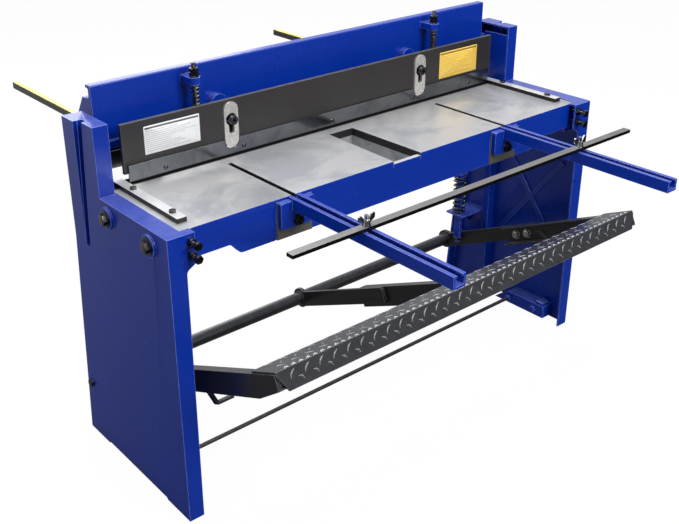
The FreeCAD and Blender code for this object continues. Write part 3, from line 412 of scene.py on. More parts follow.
def make_dust():
    """Mask of dust on faces that look up, thicker in patches."""
    group, source, sink = new_group(
        "dust", [("Vector", "Vector", (0, 0, 0)), ("Amount", "Float", 0.3)], [("Mask", "Float")])
    geometry = group.nodes.new("ShaderNodeNewGeometry")
    split = group.nodes.new("ShaderNodeSeparateXYZ")
    group.links.new(geometry.outputs["Normal"], split.inputs[0])
    upward = math_node(group, "MAXIMUM", split.outputs["Z"], 0.0)
    patches = noise(group, source.outputs["Vector"], 38.0, 5.0, 0.7)
    both = math_node(group, "MULTIPLY", upward, patches)
    mask = math_node(group, "MULTIPLY", both, source.outputs["Amount"])
    group.links.new(mask, sink.inputs["Mask"])
    return group


edge_highlight = make_edge_highlight()
orange_peel = make_orange_peel()
grinding = make_grinding()
dust = make_dust()


def start_material(name, metallic=0.0, roughness=0.4, coat=0.0, specular=0.5):
    """Material with a Principled shader and object coordinates."""
    material = bpy.data.materials.new(name)
    material.use_nodes = True
    tree = material.node_tree
    shader = tree.nodes["Principled BSDF"]
    shader.inputs["Metallic"].default_value = metallic
    shader.inputs["Roughness"].default_value = roughness
    shader.inputs["Coat Weight"].default_value = coat
    shader.inputs["Coat Roughness"].default_value = 0.12
    shader.inputs["Specular IOR Level"].default_value = specular
    place = tree.nodes.new("ShaderNodeTexCoord").outputs["Object"]
    return material, tree, shader, place


def use_group(tree, group, place, **values):
    """Group placed in a material, with its own values."""
    node = tree.nodes.new("ShaderNodeGroup")
    node.node_tree = group
    tree.links.new(place, node.inputs["Vector"])
    for label, value in values.items():
        node.inputs[label].default_value = value
    return node


def mix_colours(tree, factor, a, b):
    """Colour between two, by a mask; each may be a colour or a socket."""
    node = tree.nodes.new("ShaderNodeMix")
    node.data_type = "RGBA"
    for index, value in ((0, factor), (6, a), (7, b)):
        set_input(tree, node.inputs[index], value)
    return node.outputs[2]


def between(tree, factor, low, high, start=0.0, end=1.0):
    """Number that runs from low to high while a value runs from start to end."""
    node = tree.nodes.new("ShaderNodeMapRange")
    node.inputs["From Min"].default_value = start
    node.inputs["From Max"].default_value = end
    node.inputs["To Min"].default_value = low
    node.inputs["To Max"].default_value = high
    tree.links.new(factor, node.inputs["Value"])
    return node.outputs["Result"]


def along_axis(tree, place, axis):
    """One of the object coordinates, in millimetres."""
    split = tree.nodes.new("ShaderNodeSeparateXYZ")
    tree.links.new(place, split.inputs[0])
    return math_node(tree, "DIVIDE", split.outputs[axis], MM)


def bump(tree, shader, height, distance):
    """Relief of a height between 0 and 1 that stands a distance high at most."""
    node = tree.nodes.new("ShaderNodeBump")
    node.inputs["Distance"].default_value = distance
    tree.links.new(height, node.inputs["Height"])
    tree.links.new(node.outputs["Normal"], shader.inputs["Normal"])


def painted(name, deep, bright, wear_and_glint, rough=(0.26, 0.36), coat=0.25, peel=0.05 * MM, grit=0.25,
            seam=None, crest=None):
    """Sprayed paint: two tones, a lighter colour on edges as a painted highlight, light dust,
    orange peel.

    At the height called seam, in millimetres, the paint runs on from one piece to the next.
    The colour called crest is a painted highlight, shown where the mesh's attribute of that name
    is near 1.
    """
    material, tree, shader, place = start_material(name, coat=coat)
    spray = use_group(tree, orange_peel, place)
    # Painted highlight: the third paint colour is laid along outer edges
    edge_glint = use_group(tree, edge_highlight, place).outputs["Mask"]
    if seam is not None:
        away = math_node(tree, "SUBTRACT", along_axis(tree, place, "Z"), seam)
        open_edge = math_node(tree, "GREATER_THAN", math_node(tree, "ABSOLUTE", away), SEAM_REACH)
        edge_glint = math_node(tree, "MULTIPLY", edge_glint, open_edge)
    settled = use_group(tree, dust, place, Amount=grit)
    tone = mix_colours(tree, spray.outputs["Tone"], deep, bright)
    tone = mix_colours(tree, edge_glint, tone, wear_and_glint)
    tone = mix_colours(tree, settled.outputs["Mask"], tone, (0.30, 0.32, 0.36))
    if crest is not None:
        height = tree.nodes.new("ShaderNodeAttribute")
        height.attribute_name = "crest"
        # Painted highlight along the lenses' crests
        crest_glint = ramp(tree, height.outputs["Fac"], [(0.62, 0.0), (0.95, 1.0)])
        tone = mix_colours(tree, crest_glint, tone, crest)
    tree.links.new(tone, shader.inputs["Base Color"])
    tree.links.new(between(tree, spray.outputs["Tone"], *rough), shader.inputs["Roughness"])
    bump(tree, shader, spray.outputs["Height"], peel)
    return material


def ground(name, clean, stained, rough=(0.22, 0.42), stretch=(2.0, 180.0, 180.0), cloud=5.0,
           metallic=1.0, depth=0.02 * MM, edge=1.25, shade_from=None):
    """Ground or drawn steel: scratches along one axis, stains, edges brighter by a factor as a
    painted highlight.

    Beyond a place on Y given in millimetres it is near black, a painted shade under the hold-down
    bar.
    """
    material, tree, shader, place = start_material(name, metallic=metallic)
    cut = use_group(tree, grinding, place, Stretch=stretch, Cloud=cloud)
    edges = use_group(tree, edge_highlight, place, Radius=0.8 * MM)
    tone = mix_colours(tree, cut.outputs["Stain"], clean, stained)
    streak = mix_colours(tree, cut.outputs["Lines"], tuple(0.86 * c for c in clean), clean)
    tone = mix_colours(tree, 0.4, tone, streak)
    bright = tuple(min(1.0, edge * c) for c in clean)
    # Painted highlight: edges lighter by the factor called edge
    tone = mix_colours(tree, edges.outputs["Mask"], tone, bright)
    if shade_from is not None:
        # Painted shade: near black with no sheen where the hold-down bar shades the table
        painted_shade = between(tree, along_axis(tree, place, "Y"), 0.0, 1.0, shade_from - SHADE_FADE,
                      shade_from)
        tone = mix_colours(tree, painted_shade, tone, (0.014, 0.013, 0.012))
        tree.links.new(between(tree, painted_shade, metallic, 0.0), shader.inputs["Metallic"])
        tree.links.new(between(tree, painted_shade, 0.5, 0.0), shader.inputs["Specular IOR Level"])
    tree.links.new(tone, shader.inputs["Base Color"])
    wear_and_glint = math_node(tree, "MULTIPLY", cut.outputs["Stain"], cut.outputs["Lines"])
    tree.links.new(between(tree, wear_and_glint, *rough), shader.inputs["Roughness"])
    bump(tree, shader, cut.outputs["Lines"], depth)
    return material


# Deep and bright paint tones, then a lighter colour painted on the edges as a highlight
BLUE = ((0.0008, 0.023, 0.275), (0.0012, 0.031, 0.350), (0.28, 0.36, 0.95))
blue = painted("blue_enamel", *BLUE, rough=(0.22, 0.32), coat=0.0)
blue_bed = painted("blue_enamel_of_bed", *BLUE, rough=(0.22, 0.32), coat=0.0, seam=TABLE_LOW)
black = painted("black_powder_coat", (0.007, 0.007, 0.008), (0.014, 0.014, 0.016),
                (0.16, 0.16, 0.17), rough=(0.26, 0.40), coat=0.2, peel=0.08 * MM)
bar_black = painted("satin_bar_coat", (0.018, 0.016, 0.017), (0.030, 0.027, 0.028),
                    (0.16, 0.15, 0.15), rough=(0.40, 0.52), coat=0.0, peel=0.06 * MM)
TREAD = ((0.008, 0.008, 0.010), (0.017, 0.017, 0.021), (0.50, 0.50, 0.52))
tread_black = painted("tread_enamel", *TREAD, rough=(0.22, 0.36), coat=0.1, peel=0.05 * MM)
# Same tread paint with a painted highlight on the lenses' crests
tread_crest = painted("tread_crest", *TREAD, rough=(0.22, 0.36), coat=0.1, peel=0.05 * MM,
                      crest=(0.46, 0.46, 0.47))
tube_black = painted("tube_gloss", (0.008, 0.008, 0.009), (0.016, 0.016, 0.018),
                     (0.10, 0.10, 0.10), rough=(0.12, 0.20), coat=0.4)
# Painted shade: near black given to the table's recesses in place of their shadow
recess_shade = painted("unlit_recess", (0.004, 0.004, 0.006), (0.008, 0.008, 0.012),
                    (0.03, 0.03, 0.05), rough=(0.5, 0.7), coat=0.0)
oxide = ground("black_oxide", (0.10, 0.10, 0.105), (0.030, 0.029, 0.028), rough=(0.24, 0.42),
               stretch=(20.0, 20.0, 20.0), cloud=40.0)
# The table is painted dark just behind the strip's front, standing in for the shade under the
# hold-down bar
table_steel = ground("ground_table", (0.555, 0.555, 0.56), (0.235, 0.255, 0.295),
                     rough=(0.34, 0.48), stretch=(2.0, 120.0, 120.0), cloud=5.0, metallic=0.5,
                     shade_from=STRIP_FACE + 4.0)
# The strip's edges get a strong painted highlight
strip_steel = ground("polished_strip", (0.22, 0.23, 0.245), (0.12, 0.125, 0.14),
                     rough=(0.18, 0.30), stretch=(2.0, 200.0, 200.0), cloud=9.0, edge=3.2)
plate_steel = ground("tumbled_plate", (0.66, 0.64, 0.60), (0.44, 0.42, 0.39),
                     rough=(0.26, 0.46), stretch=(60.0, 60.0, 60.0), cloud=60.0, metallic=0.5)
gauge_steel = ground("side_gauge_steel", (0.74, 0.74, 0.75), (0.55, 0.56, 0.59),
                     rough=(0.28, 0.42), stretch=(180.0, 2.0, 180.0), cloud=9.0, metallic=0.5)
bar_steel = ground("mill_steel", (0.44, 0.43, 0.425), (0.28, 0.275, 0.27), rough=(0.34, 0.52),
                   stretch=(2.0, 90.0, 90.0), cloud=14.0)
# Sides of the bright bars: a darker sawn finish, darkened further as painted shade
bar_side_shade = ground("sawn_side_with_shade", (0.055, 0.053, 0.048), (0.030, 0.029, 0.026),
                  rough=(0.36, 0.54), stretch=(4.0, 60.0, 90.0), cloud=20.0)
bolt_steel = ground("plated_bolt", (0.17, 0.16, 0.14), (0.05, 0.048, 0.042), rough=(0.20, 0.36),
                    stretch=(30.0, 30.0, 30.0), cloud=60.0, edge=3.0)
pan_steel = ground("trough_pan", (0.46, 0.465, 0.48), (0.20, 0.205, 0.22), rough=(0.30, 0.46),
                   stretch=(40.0, 4.0, 40.0), cloud=12.0, metallic=0.4)
pad_steel = ground("machined_pad", (0.26, 0.245, 0.21), (0.15, 0.14, 0.12), rough=(0.42, 0.60),
                   stretch=(4.0, 60.0, 90.0), cloud=20.0, metallic=0.7)
blade_steel = ground("blade_steel", (0.24, 0.25, 0.27), (0.13, 0.13, 0.15), rough=(0.20, 0.36),
                     stretch=(2.0, 160.0, 160.0), cloud=12.0)
spring_steel = ground("spring_wire", (0.20, 0.20, 0.205), (0.07, 0.068, 0.065),
                      rough=(0.14, 0.28), stretch=(30.0, 30.0, 30.0), cloud=50.0)
zinc = ground("zinc_plating", (0.58, 0.58, 0.56), (0.34, 0.335, 0.32), rough=(0.18, 0.34),
              stretch=(40.0, 40.0, 40.0), cloud=60.0)
rod_black = painted("rod_black", (0.009, 0.009, 0.010), (0.016, 0.016, 0.017),
                    (0.09, 0.09, 0.09), rough=(0.28, 0.42), coat=0.1)


def inside(tree, value, low, high):
    """Mask that is 1 where a value lies between two limits."""
    return math_node(tree, "MULTIPLY", math_node(tree, "GREATER_THAN", value, low),
                     math_node(tree, "LESS_THAN", value, high))


def ticks_every(tree, value, pitch, share):
    """Mask of lines at a pitch, each of them a share of the pitch wide."""
    turn = math_node(tree, "FRACT", math_node(tree, "DIVIDE", value, pitch))
    return math_node(tree, "LESS_THAN", turn, share)


def printed(name, sheet, ink, edge, low, high, pitch):
    """Plain label: ruled lines of uneven length on one colour, under a solid band."""
    material, tree, shader, place = start_material(name, roughness=0.38)
    x = along_axis(tree, place, "X")
    z = along_axis(tree, place, "Z")
    chance = tree.nodes.new("ShaderNodeTexWhiteNoise")
    chance.noise_dimensions = "1D"
    row = math_node(tree, "DIVIDE", z, pitch)
    tree.links.new(math_node(tree, "FLOOR", row), chance.inputs["W"])
    shortest = low[0] + 0.35 * (high[0] - low[0])
    reach = between(tree, chance.outputs["Value"], shortest, high[0] - 2.0 * edge)
    line = math_node(tree, "MULTIPLY", ticks_every(tree, z, pitch, 0.22),
                     inside(tree, x, low[0] + edge, reach))
    line = math_node(tree, "MULTIPLY", line, inside(tree, z, low[1] + edge, high[1] - 3 * edge))
    band = math_node(tree, "MULTIPLY", inside(tree, z, high[1] - 2.4 * edge, high[1] - edge),
                     inside(tree, x, low[0] + edge, high[0] - edge))
    grain = noise(tree, place, 90.0, 3.0)
    aged = tuple(0.86 * c for c in sheet)
    tone = mix_colours(tree, grain, sheet, aged)
    tone = mix_colours(tree, math_node(tree, "MULTIPLY", line, 0.55), tone, ink)
    tone = mix_colours(tree, band, tone, ink)
    tree.links.new(tone, shader.inputs["Base Color"])
    tree.links.new(between(tree, grain, 0.30, 0.46), shader.inputs["Roughness"])
    bump(tree, shader, grain, 0.03 * MM)
    return material


def measuring_tape():
    """Yellow tape with a tick every 10 mm and a longer one every 50 mm along Y."""
    material, tree, shader, place = start_material("measuring_tape", roughness=0.34)
    y = along_axis(tree, place, "Y")
    x = math_node(tree, "ABSOLUTE", along_axis(tree, place, "X"))
    outer = math_node(tree, "GREATER_THAN", x, GAUGE_ROD_X)
    short = math_node(tree, "MULTIPLY", ticks_every(tree, y, 10.0, 0.12), outer)
    ticks = math_node(tree, "MAXIMUM", short, ticks_every(tree, y, 50.0, 0.03))
    wear_and_glint = noise(tree, place, 60.0, 4.0)
    tone = mix_colours(tree, wear_and_glint, (0.80, 0.72, 0.14), (0.68, 0.60, 0.11))
    tone = mix_colours(tree, math_node(tree, "MULTIPLY", ticks, 0.8), tone, (0.02, 0.02, 0.02))
    tree.links.new(tone, shader.inputs["Base Color"])
    tree.links.new(between(tree, wear_and_glint, 0.26, 0.42), shader.inputs["Roughness"])
    return material


# Lower left and upper right corner of each label, in X and Z
WHITE_LABEL = ((-603.0, 851.0), (-441.0, 924.0))
YELLOW_LABEL = ((433.0, 842.0), (600.0, 924.0))
label_white = printed("white_label", (0.80, 0.81, 0.82), (0.07, 0.07, 0.08), 3.5,
                      *WHITE_LABEL, 5.2)
label_yellow = printed("yellow_label", (0.88, 0.58, 0.10), (0.16, 0.12, 0.03), 3.5,
                       *YELLOW_LABEL, 6.4)
tape_yellow = measuring_tape()

finish_of = {
    blue: ["left_side_frame", "right_side_frame", "leg_stiffeners", "foot_bars",
           "bed_rear_beam", "bed_ends", "spring_seats", "ram_beam", "ram_slides",
           "left_pull_link", "right_pull_link"],
    rod_black: ["gauge_rods", "back_gauge", "tie_rod"],
    blade_steel: ["lower_blade", "upper_blade"],
    strip_steel: ["hold_down_strip"],
    plate_steel: ["keyhole_plates"],
    bar_black: ["hold_down_bar"],
    tube_black: ["treadle_tube"],
    black: ["left_treadle_lever", "right_treadle_lever", "middle_treadle_lever",
            "left_treadle_arm", "right_treadle_arm", "middle_treadle_arm"],
    tread_black: ["treadle_board"],
}
THICK_EDGED = ("left_side_frame", "right_side_frame", "ram_beam", "treadle_board")
THICK_BEVEL = 1.6 * MM
PLAIN_BEVEL = 0.9 * MM
FINE_BEVEL = 0.6 * MM        # ground bars
TABLE_BEVEL = 0.5 * MM
for material, names in finish_of.items():
    for name in names:
        softened(name, material, THICK_BEVEL if name in THICK_EDGED else PLAIN_BEVEL)


# Nodes whose faces differ: bare pads under painted arms, sides of bright bars darkened partly by a
# sawn finish and partly as painted shade

def on_front_edge(centre, normal):
    """Painted front edge of the table."""
    return normal.y < -0.9 and centre.y < TABLE_FRONT + 1.0


def in_recess(centre, normal):
    """Walls and floors of the table's slots and of its middle opening, which are painted near
    black as shade.
    """
    return TABLE_LOW + 0.5 < centre.z < TABLE_TOP - 0.5 and centre.y > TABLE_FRONT + 1.0


def at_bed_seam(middle):
    """Joint between the table's front edge and the apron below it."""
    return abs(middle.z - TABLE_LOW) < 0.5 and middle.y < TABLE_FRONT + 1.0


def on_pad(centre, normal):
    """Machined faces of the pads that carry the arms."""
    return centre.y < TABLE_FRONT - 0.5 and normal.z < 0.5


def on_lip(centre, normal):
    """Top of the lip in the trough's mouth."""
    return abs(centre.x) < TROUGH_REACH and centre.z > TABLE_LOW + 1.0 and normal.z > 0.5


def in_trough(centre, normal):
    """Sheet-steel pan below the table's middle opening."""
    return abs(centre.x) < TROUGH_REACH


def on_foot_bolt(centre, normal):
    """Head of the bolt in a support arm's foot."""
    return (ARM_FOOT_FACE - 12.0 < centre.y < ARM_FOOT_FACE - 0.1
            and centre.z < ARM_FOOT_BOLT[1] + 16.0)


for name in ("left_table", "middle_table", "right_table"):
    softened(name, table_steel, TABLE_BEVEL,
             [(blue_bed, on_front_edge), (recess_shade, in_recess)], at_bed_seam)
softened("bed_apron", blue_bed, PLAIN_BEVEL, [(pad_steel, on_pad), (gauge_steel, on_lip)],
         at_bed_seam)
softened("bed_ribs", blue, PLAIN_BEVEL, [(pan_steel, in_trough)])
for name in ("left_support_arm", "right_support_arm"):
    softened(name, blue, PLAIN_BEVEL, [(oxide, on_foot_bolt)])
softened("side_gauges", gauge_steel, FINE_BEVEL,
         [(bar_side_shade, lambda centre, normal: normal.z < 0.5),
          (oxide, lambda centre, normal: centre.z > GAUGE_TOP + 0.1)])
softened("front_gauge_bar", bar_steel, FINE_BEVEL,
         [(bar_side_shade, lambda centre, normal: normal.z < 0.5)])
softened("guide_pads", blue, FINE_BEVEL, [(oxide, lambda centre, normal: centre.y < HOLD_BACK)])
softened("guide_plates", blue, PLAIN_BEVEL)

plain_finish = {
    spring_steel: ["return_springs", "hold_down_springs"],
    zinc: ["front_gauge_clamps"],
    oxide: ["pivot_pins"],
}
for material, names in plain_finish.items():
    for name in names:
        data = cad_nodes[name].data
        data.materials.clear()
        data.materials.append(material)


def treadle_frame():
    """Origin and directions along an arm, square to it and across the machine."""
    c = math.cos(TREADLE_RISE)
    s = math.sin(TREADLE_RISE)
    origin = np.array([0.0, PIVOT_Y, PIVOT_Z])
    return origin, np.array([0.0, -c, s]), np.array([0.0, s, c]), np.array([1.0, 0.0, 0.0])


def tread_lenses():
    """Lenses on the board's lip and deck, alternately steep and flat, and a row on the bend.

    The attribute "crest" is each corner's height above the sheet, as a share of a lens's rise.
    """
    origin, along, across, right = treadle_frame()
    count = int(2.0 * (BOARD_HALF - 18.0 * MM) / LENS_PITCH)
    start = -LENS_PITCH * (count - 1) / 2.0
    parts = []

    def place(centre, up, out, angle, half_length):
        """Lens at an angle to the board's length, in the plane of that length and up."""
        direction = math.cos(angle) * right + math.sin(angle) * up
        beside = np.cross(out, direction)
        parts.append(lens(centre, direction, beside, out, half_length, LENS_WIDTH, LENS_RISE,
                          LENS_BOW))

    bend_out = (along + across) / math.sqrt(2.0)
    bend = origin + BOARD_FRONT * along + BOARD_TOP * across - 0.9 * MM * bend_out
    for i in range(count):
        x = start + i * LENS_PITCH
        for level, shift, angle, half_length in ((6.0 * MM, 0.0, LENS_STEEP, 13.0 * MM),
                                                 (-10.0 * MM, 0.5, LENS_FLAT, 9.5 * MM)):
            centre = (origin + BOARD_FRONT * along + level * across
                      + (x + shift * LENS_PITCH) * right)
            if abs(centre[0]) < BOARD_HALF - 22.0 * MM:
                place(centre, across, along, angle, half_length)
        for shift in (-0.25, 0.25):
            centre = bend + (x + shift * LENS_PITCH) * right
            if abs(centre[0]) < BOARD_HALF - 12.0 * MM:
                place(centre, bend_out, bend_out, 0.0, 8.0 * MM)
        for j in range(4):
            reach = BOARD_BACK + (12.0 + 25.0 * j) * MM
            angle = LENS_STEEP if j % 2 else LENS_FLAT
            centre = (origin + reach * along + BOARD_TOP * across
                      + (x + 0.5 * LENS_PITCH * (j % 2)) * right)
            if abs(centre[0]) < BOARD_HALF - 16.0 * MM:
                place(centre, -along, across, angle, 11.0 * MM)
    mesh = piece("tread_lenses", parts, tread_crest, "treadle", sharp=60.0).data
    places = np.array([vertex.co for vertex in mesh.vertices]) - origin
    above = np.maximum(places @ along - BOARD_FRONT, places @ across - BOARD_TOP)
    crest = mesh.attributes.new("crest", "FLOAT", "POINT")
    crest.data.foreach_set("value", np.clip(above / LENS_RISE, 0.0, 1.0))


SIDES = (-1.0, 1.0)
RIGHT = np.array([1.0, 0.0, 0.0])
BACK = np.array([0.0, 1.0, 0.0])
UP = np.array([0.0, 0.0, 1.0])
BED_BOLT_YS = (-315.0, -120.0)
BED_BOLT_Z = 746.0
BED_WASHER = 2.4 * MM        # its thickness
SET_SCREW_X = 693.0
SET_SCREW_ZS = (765.0, 732.0)
SET_SCREW_REACH = 26.0       # from the leg's flange to the screw's head
STUD_FOOT = (430.0, -27.0, 928.0)
STUD_WASHER_AT = 83.3        # above the stud's foot
STRIP_SCREW_XS = (-551.0, -310.0, -3.0, 315.0, 563.0)
STRIP_SCREW_Z = 807.0
ARM_WEBS = ((-655.0, 1.0), (655.0, -1.0), (5.0, 1.0))    # inner face and the way it looks
ARM_BOLT_REACHES = (352.0, 400.0)
LEVER_FACES = (-672.0, -660.0, -12.0, 0.0, 660.0, 672.0)
TUBE_RADIUS = 21.5 * MM
PIVOT_HEAD_X = 753.0
FOOT_BAR_FACE = 700.0
FOOT_BAR_BOLTS = ((-183.0, 27.0), (-292.0, 31.0))
FOOT_BLOCK = (722.0, -311.0, 52.5)
ARM_END_X = 641.0
TAPE_MIDDLE_Y = 500.0
TAPE_HALF = 404.0 * MM


def stem(radius, low, high, centre, axis):
    """Plain round shank between two heights."""
    return turned([(0, low), (radius, low), (radius, high), (0, high)], centre, axis, 24)


def bed_bolts():
    """Bolts through the bosses: a washer, a chamfered head and the stem behind them."""
    parts = []
    rings = []
    for side in SIDES:
        for y in BED_BOLT_YS:
            base = at(side * BOSS_FACE, y, BED_BOLT_Z)
            out = side * RIGHT
            rings.append(washer(21.5 * MM, BED_WASHER, base, out))
            parts.append(hexagonal(26.0 * MM, 10.0 * MM, base + BED_WASHER * out, out))
            parts.append(stem(10.0 * MM, -65.0 * MM, 1.0 * MM, base, out))
    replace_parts(piece("bed_bolts", parts, bolt_steel, "frame"), "frame_bolts")
    piece("bed_washers", rings, oxide, "frame")


def set_screws():
    """Adjusting screws of the bed: lock nut, thread and head in front of each leg."""
    parts = []
    for side in SIDES:
        for z in SET_SCREW_ZS:
            face = at(side * SET_SCREW_X, LEG_FRONT, z)
            head = face - SET_SCREW_REACH * MM * BACK
            parts.append(hexagonal(19.2 * MM, 10.0 * MM, face, -BACK))
            parts.append(threaded(6.0 * MM, 1.75 * MM, face - 9.0 * MM * BACK,
                                  head - 1.0 * MM * BACK))
            parts.append(stem(5.8 * MM, -26.0 * MM, 2.0 * MM, face, -BACK))
            parts.append(hexagonal(19.2 * MM, 8.0 * MM, head, -BACK))
    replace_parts(piece("set_screws", parts, oxide, "frame"), "adjusting_bolts")


def studs():
    """Threaded studs of the hold-down bar with a washer and two nuts above each lug."""
    parts = []
    for side in SIDES:
        foot = at(side * STUD_FOOT[0], *STUD_FOOT[1:])
        ring = foot + STUD_WASHER_AT * MM * UP
        parts.append(threaded(7.0 * MM, 2.0 * MM, foot, foot + 120.0 * MM * UP))
        parts.append(washer(12.0 * MM, 2.5 * MM, ring, UP))
        for rise in (2.5, 13.5):
            parts.append(hexagonal(21.7 * MM, 10.0 * MM, ring + rise * MM * UP, UP))
    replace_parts(piece("studs", parts, oxide, "hold_down"), "hold_down_studs")


def strip_screws():
    """Button-head screws of the polished strip: a dome over a ring, with a dark socket."""
    t = np.linspace(0.0, math.pi / 2.0, 7)
    dome = np.stack([6.2 * np.cos(t) + 0.3, 0.5 + 2.9 * np.sin(t)], axis=1)
    profile = np.concatenate([[(0, 0), (6.5, 0)], dome[:-1], [(2.4, 3.3), (2.4, 1.4), (0, 1.4)]])
    parts = [turned(profile * MM, at(x, STRIP_FACE, STRIP_SCREW_Z), -BACK, 32)
             for x in STRIP_SCREW_XS]
    piece("strip_screws", parts, oxide, "hold_down", sharp=50.0)


def labels():
    """Two thin plates on the hold-down bar, without any words."""
    for name, (low, high), material in (("white_label", WHITE_LABEL, label_white),
                                        ("yellow_label", YELLOW_LABEL, label_yellow)):
        centre = at((low[0] + high[0]) / 2.0, BAR_FACE, (low[1] + high[1]) / 2.0)
        plate = slab(centre, RIGHT, UP, -BACK, (high[0] - low[0]) / 2.0 * MM,
                     (high[1] - low[1]) / 2.0 * MM, 0.5 * MM, 2.0 * MM)
        piece(name + "_plate", [plate], material, "hold_down", 60.0)


def scale_tapes():
    """Yellow tape on top of each gauge rod."""
    parts = [slab(at(side * GAUGE_ROD_X, TAPE_MIDDLE_Y, GAUGE_ROD_TOP), RIGHT, BACK, UP,
                  7.0 * MM, TAPE_HALF, 0.6 * MM, 1.0 * MM) for side in SIDES]
    piece("scale_tapes", parts, tape_yellow, "ram", sharp=60.0)


def arm_bolts():
    """Bright bolts that join the treadle's channels to the levers."""
    origin, along, across, right = treadle_frame()
    parts = []
    for web, side in ARM_WEBS:
        for reach in ARM_BOLT_REACHES:
            base = origin + reach * MM * along - 11.0 * MM * across + web * MM * right
            out = side * right
            parts.append(washer(16.0 * MM, 2.2 * MM, base, out))
            parts.append(hexagonal(23.2 * MM, 7.4 * MM, base + out * 2.2 * MM, out))
    piece("arm_bolts", parts, zinc, "treadle")


def weld_ring(centre, axis, radius, bead):
    """Weld round a bar: a closed bead whose thickness swells with each drop of metal."""
    side, up, along = frame_of(axis)
    t = np.linspace(0.0, 2.0 * math.pi, 97)
    path = centre + radius * (np.cos(t)[:, None] * side + np.sin(t)[:, None] * up)
    drops = bead * (1.0 + 0.16 * np.sin(24.0 * t))
    return tube_along(path, drops, 10)


def lever_welds():
    """Welds between the treadle's tube and its levers."""
    parts = [weld_ring(np.array([x * MM, PIVOT_Y, PIVOT_Z]), RIGHT, TUBE_RADIUS, 3.0 * MM)
             for x in LEVER_FACES]
    piece("lever_welds", parts, black, "treadle", sharp=60.0)


def arm_ends():
    """Thin plates that close the side arms' channels behind the board's lip."""
    origin, along, across, right = treadle_frame()
    parts = []
    for side in SIDES:
        centre = (origin + (BOARD_FRONT - 9.0 * MM) * along - 3.5 * MM * across
                  + side * ARM_END_X * MM * right)
        parts.append(slab(centre, right, across, along, 13.5 * MM, 17.0 * MM, 2.5 * MM, 0.6 * MM))
    piece("arm_ends", parts, black, "treadle", sharp=60.0)


def foot_bar_parts():
    """Tie rod's nut, a bolt head and a raised block on both foot bars."""
    parts = []
    for side in SIDES:
        for y, z in FOOT_BAR_BOLTS:
            parts.append(hexagonal(19.0 * MM, 8.0 * MM, at(side * FOOT_BAR_FACE, y, z),
                                   -side * RIGHT))
        parts.append(slab(at(side * FOOT_BLOCK[0], *FOOT_BLOCK[1:]), RIGHT, BACK, UP,
                          17.0 * MM, 16.0 * MM, 12.0 * MM, 3.0 * MM))
    piece("foot_bar_parts", parts, blue, "frame")


def foot_bolt_washers():
    """Washers round the support arms' bolts and the pivot bolts' heads."""
    parts = []
    for side in SIDES:
        foot_bolt = at(side * ARM_FOOT_BOLT[0], ARM_FOOT_FACE, ARM_FOOT_BOLT[1])
        pivot = np.array([side * PIVOT_HEAD_X * MM, PIVOT_Y, PIVOT_Z])
        parts.append(washer(15.0 * MM, 2.2 * MM, foot_bolt, -BACK))
        parts.append(washer(12.5 * MM, 2.0 * MM, pivot, side * RIGHT))
    piece("foot_bolt_washers", parts, oxide, "frame")


tread_lenses()
bed_bolts()
set_screws()
studs()
strip_screws()
labels()
scale_tapes()
arm_bolts()
lever_welds()
arm_ends()
foot_bar_parts()
foot_bolt_washers()


# Camera, floor and lights

CAMERA_PLACE = (-1.6909, -2.0623, 1.7015)
CAMERA_YAW = math.radians(39.150)
CAMERA_PITCH = math.radians(-25.172)
CAMERA_ROLL = math.radians(-0.657)
PHOTO_WIDTH = 679.0
PHOTO_HEIGHT = 524.0
FOCAL_PIXELS = 966.8
PRINCIPAL_POINT = (317.37, 227.62)
# Light of the sky by the height of the direction, and its share by how far it looks back
SKY_BY_HEIGHT = [(0.0, 0.22), (0.20, 0.80), (0.34, 0.80), (0.46, 0.40), (0.9, 0.55)]
SKY_BEHIND = [(0.0, 0.42), (0.55, 1.0)]
FLOOR_HALF = 12.0
FLOOR_IMAGE = ((-1.0, 0.02), (3.0, 0.50))    # Y and strength where it is darkest and brightest
FLOOR_GLOW = 1.07
FLOOR_GLOW_SHARE = 0.9       # the rest is the real floor, with its shadow
# Place, point that it looks at, size in metres and watts
LAMPS = {
    "front_lamp": ((0.3, -4.2, 3.5), (0.0, -0.1, 0.6), (2.6, 2.0), 215.0),
    "top_lamp": ((-0.2, 0.6, 4.2), (0.0, -0.1, 0.7), (4.4, 3.4), 205.0),
    "left_lamp": ((-4.6, -0.4, 1.8), (0.0, -0.1, 0.5), (1.6, 2.0), 10.0),
    "back_lamp": ((0.8, 3.8, 2.0), (-0.5, 0.0, 0.9), (2.8, 1.1), 34.0),
}


def photo_camera():
    """Camera fitted to the photograph's straight edges."""
    data = bpy.data.cameras.new("photo_camera")
    data.sensor_fit = "HORIZONTAL"
    data.sensor_width = 36.0
    data.lens = data.sensor_width * FOCAL_PIXELS / PHOTO_WIDTH
    data.shift_x = (PHOTO_WIDTH / 2.0 - PRINCIPAL_POINT[0]) / PHOTO_WIDTH
    data.shift_y = (PRINCIPAL_POINT[1] - PHOTO_HEIGHT / 2.0) / PHOTO_WIDTH
    data.clip_start = 0.05
    data.clip_end = 100.0
    forward = np.array([math.sin(CAMERA_YAW) * math.cos(CAMERA_PITCH),
                        math.cos(CAMERA_YAW) * math.cos(CAMERA_PITCH), math.sin(CAMERA_PITCH)])
    level = np.array([math.cos(CAMERA_YAW), -math.sin(CAMERA_YAW), 0.0])
    upright = np.cross(level, forward)
    right = level * math.cos(CAMERA_ROLL) + upright * math.sin(CAMERA_ROLL)
    up = -level * math.sin(CAMERA_ROLL) + upright * math.cos(CAMERA_ROLL)
    rotation = Matrix(np.stack([right, up, -forward], axis=1).tolist()).to_4x4()
    camera = bpy.data.objects.new("photo_camera", data)
    camera.matrix_world = Matrix.Translation(CAMERA_PLACE) @ rotation
    scene.collection.objects.link(camera)
    scene.camera = camera


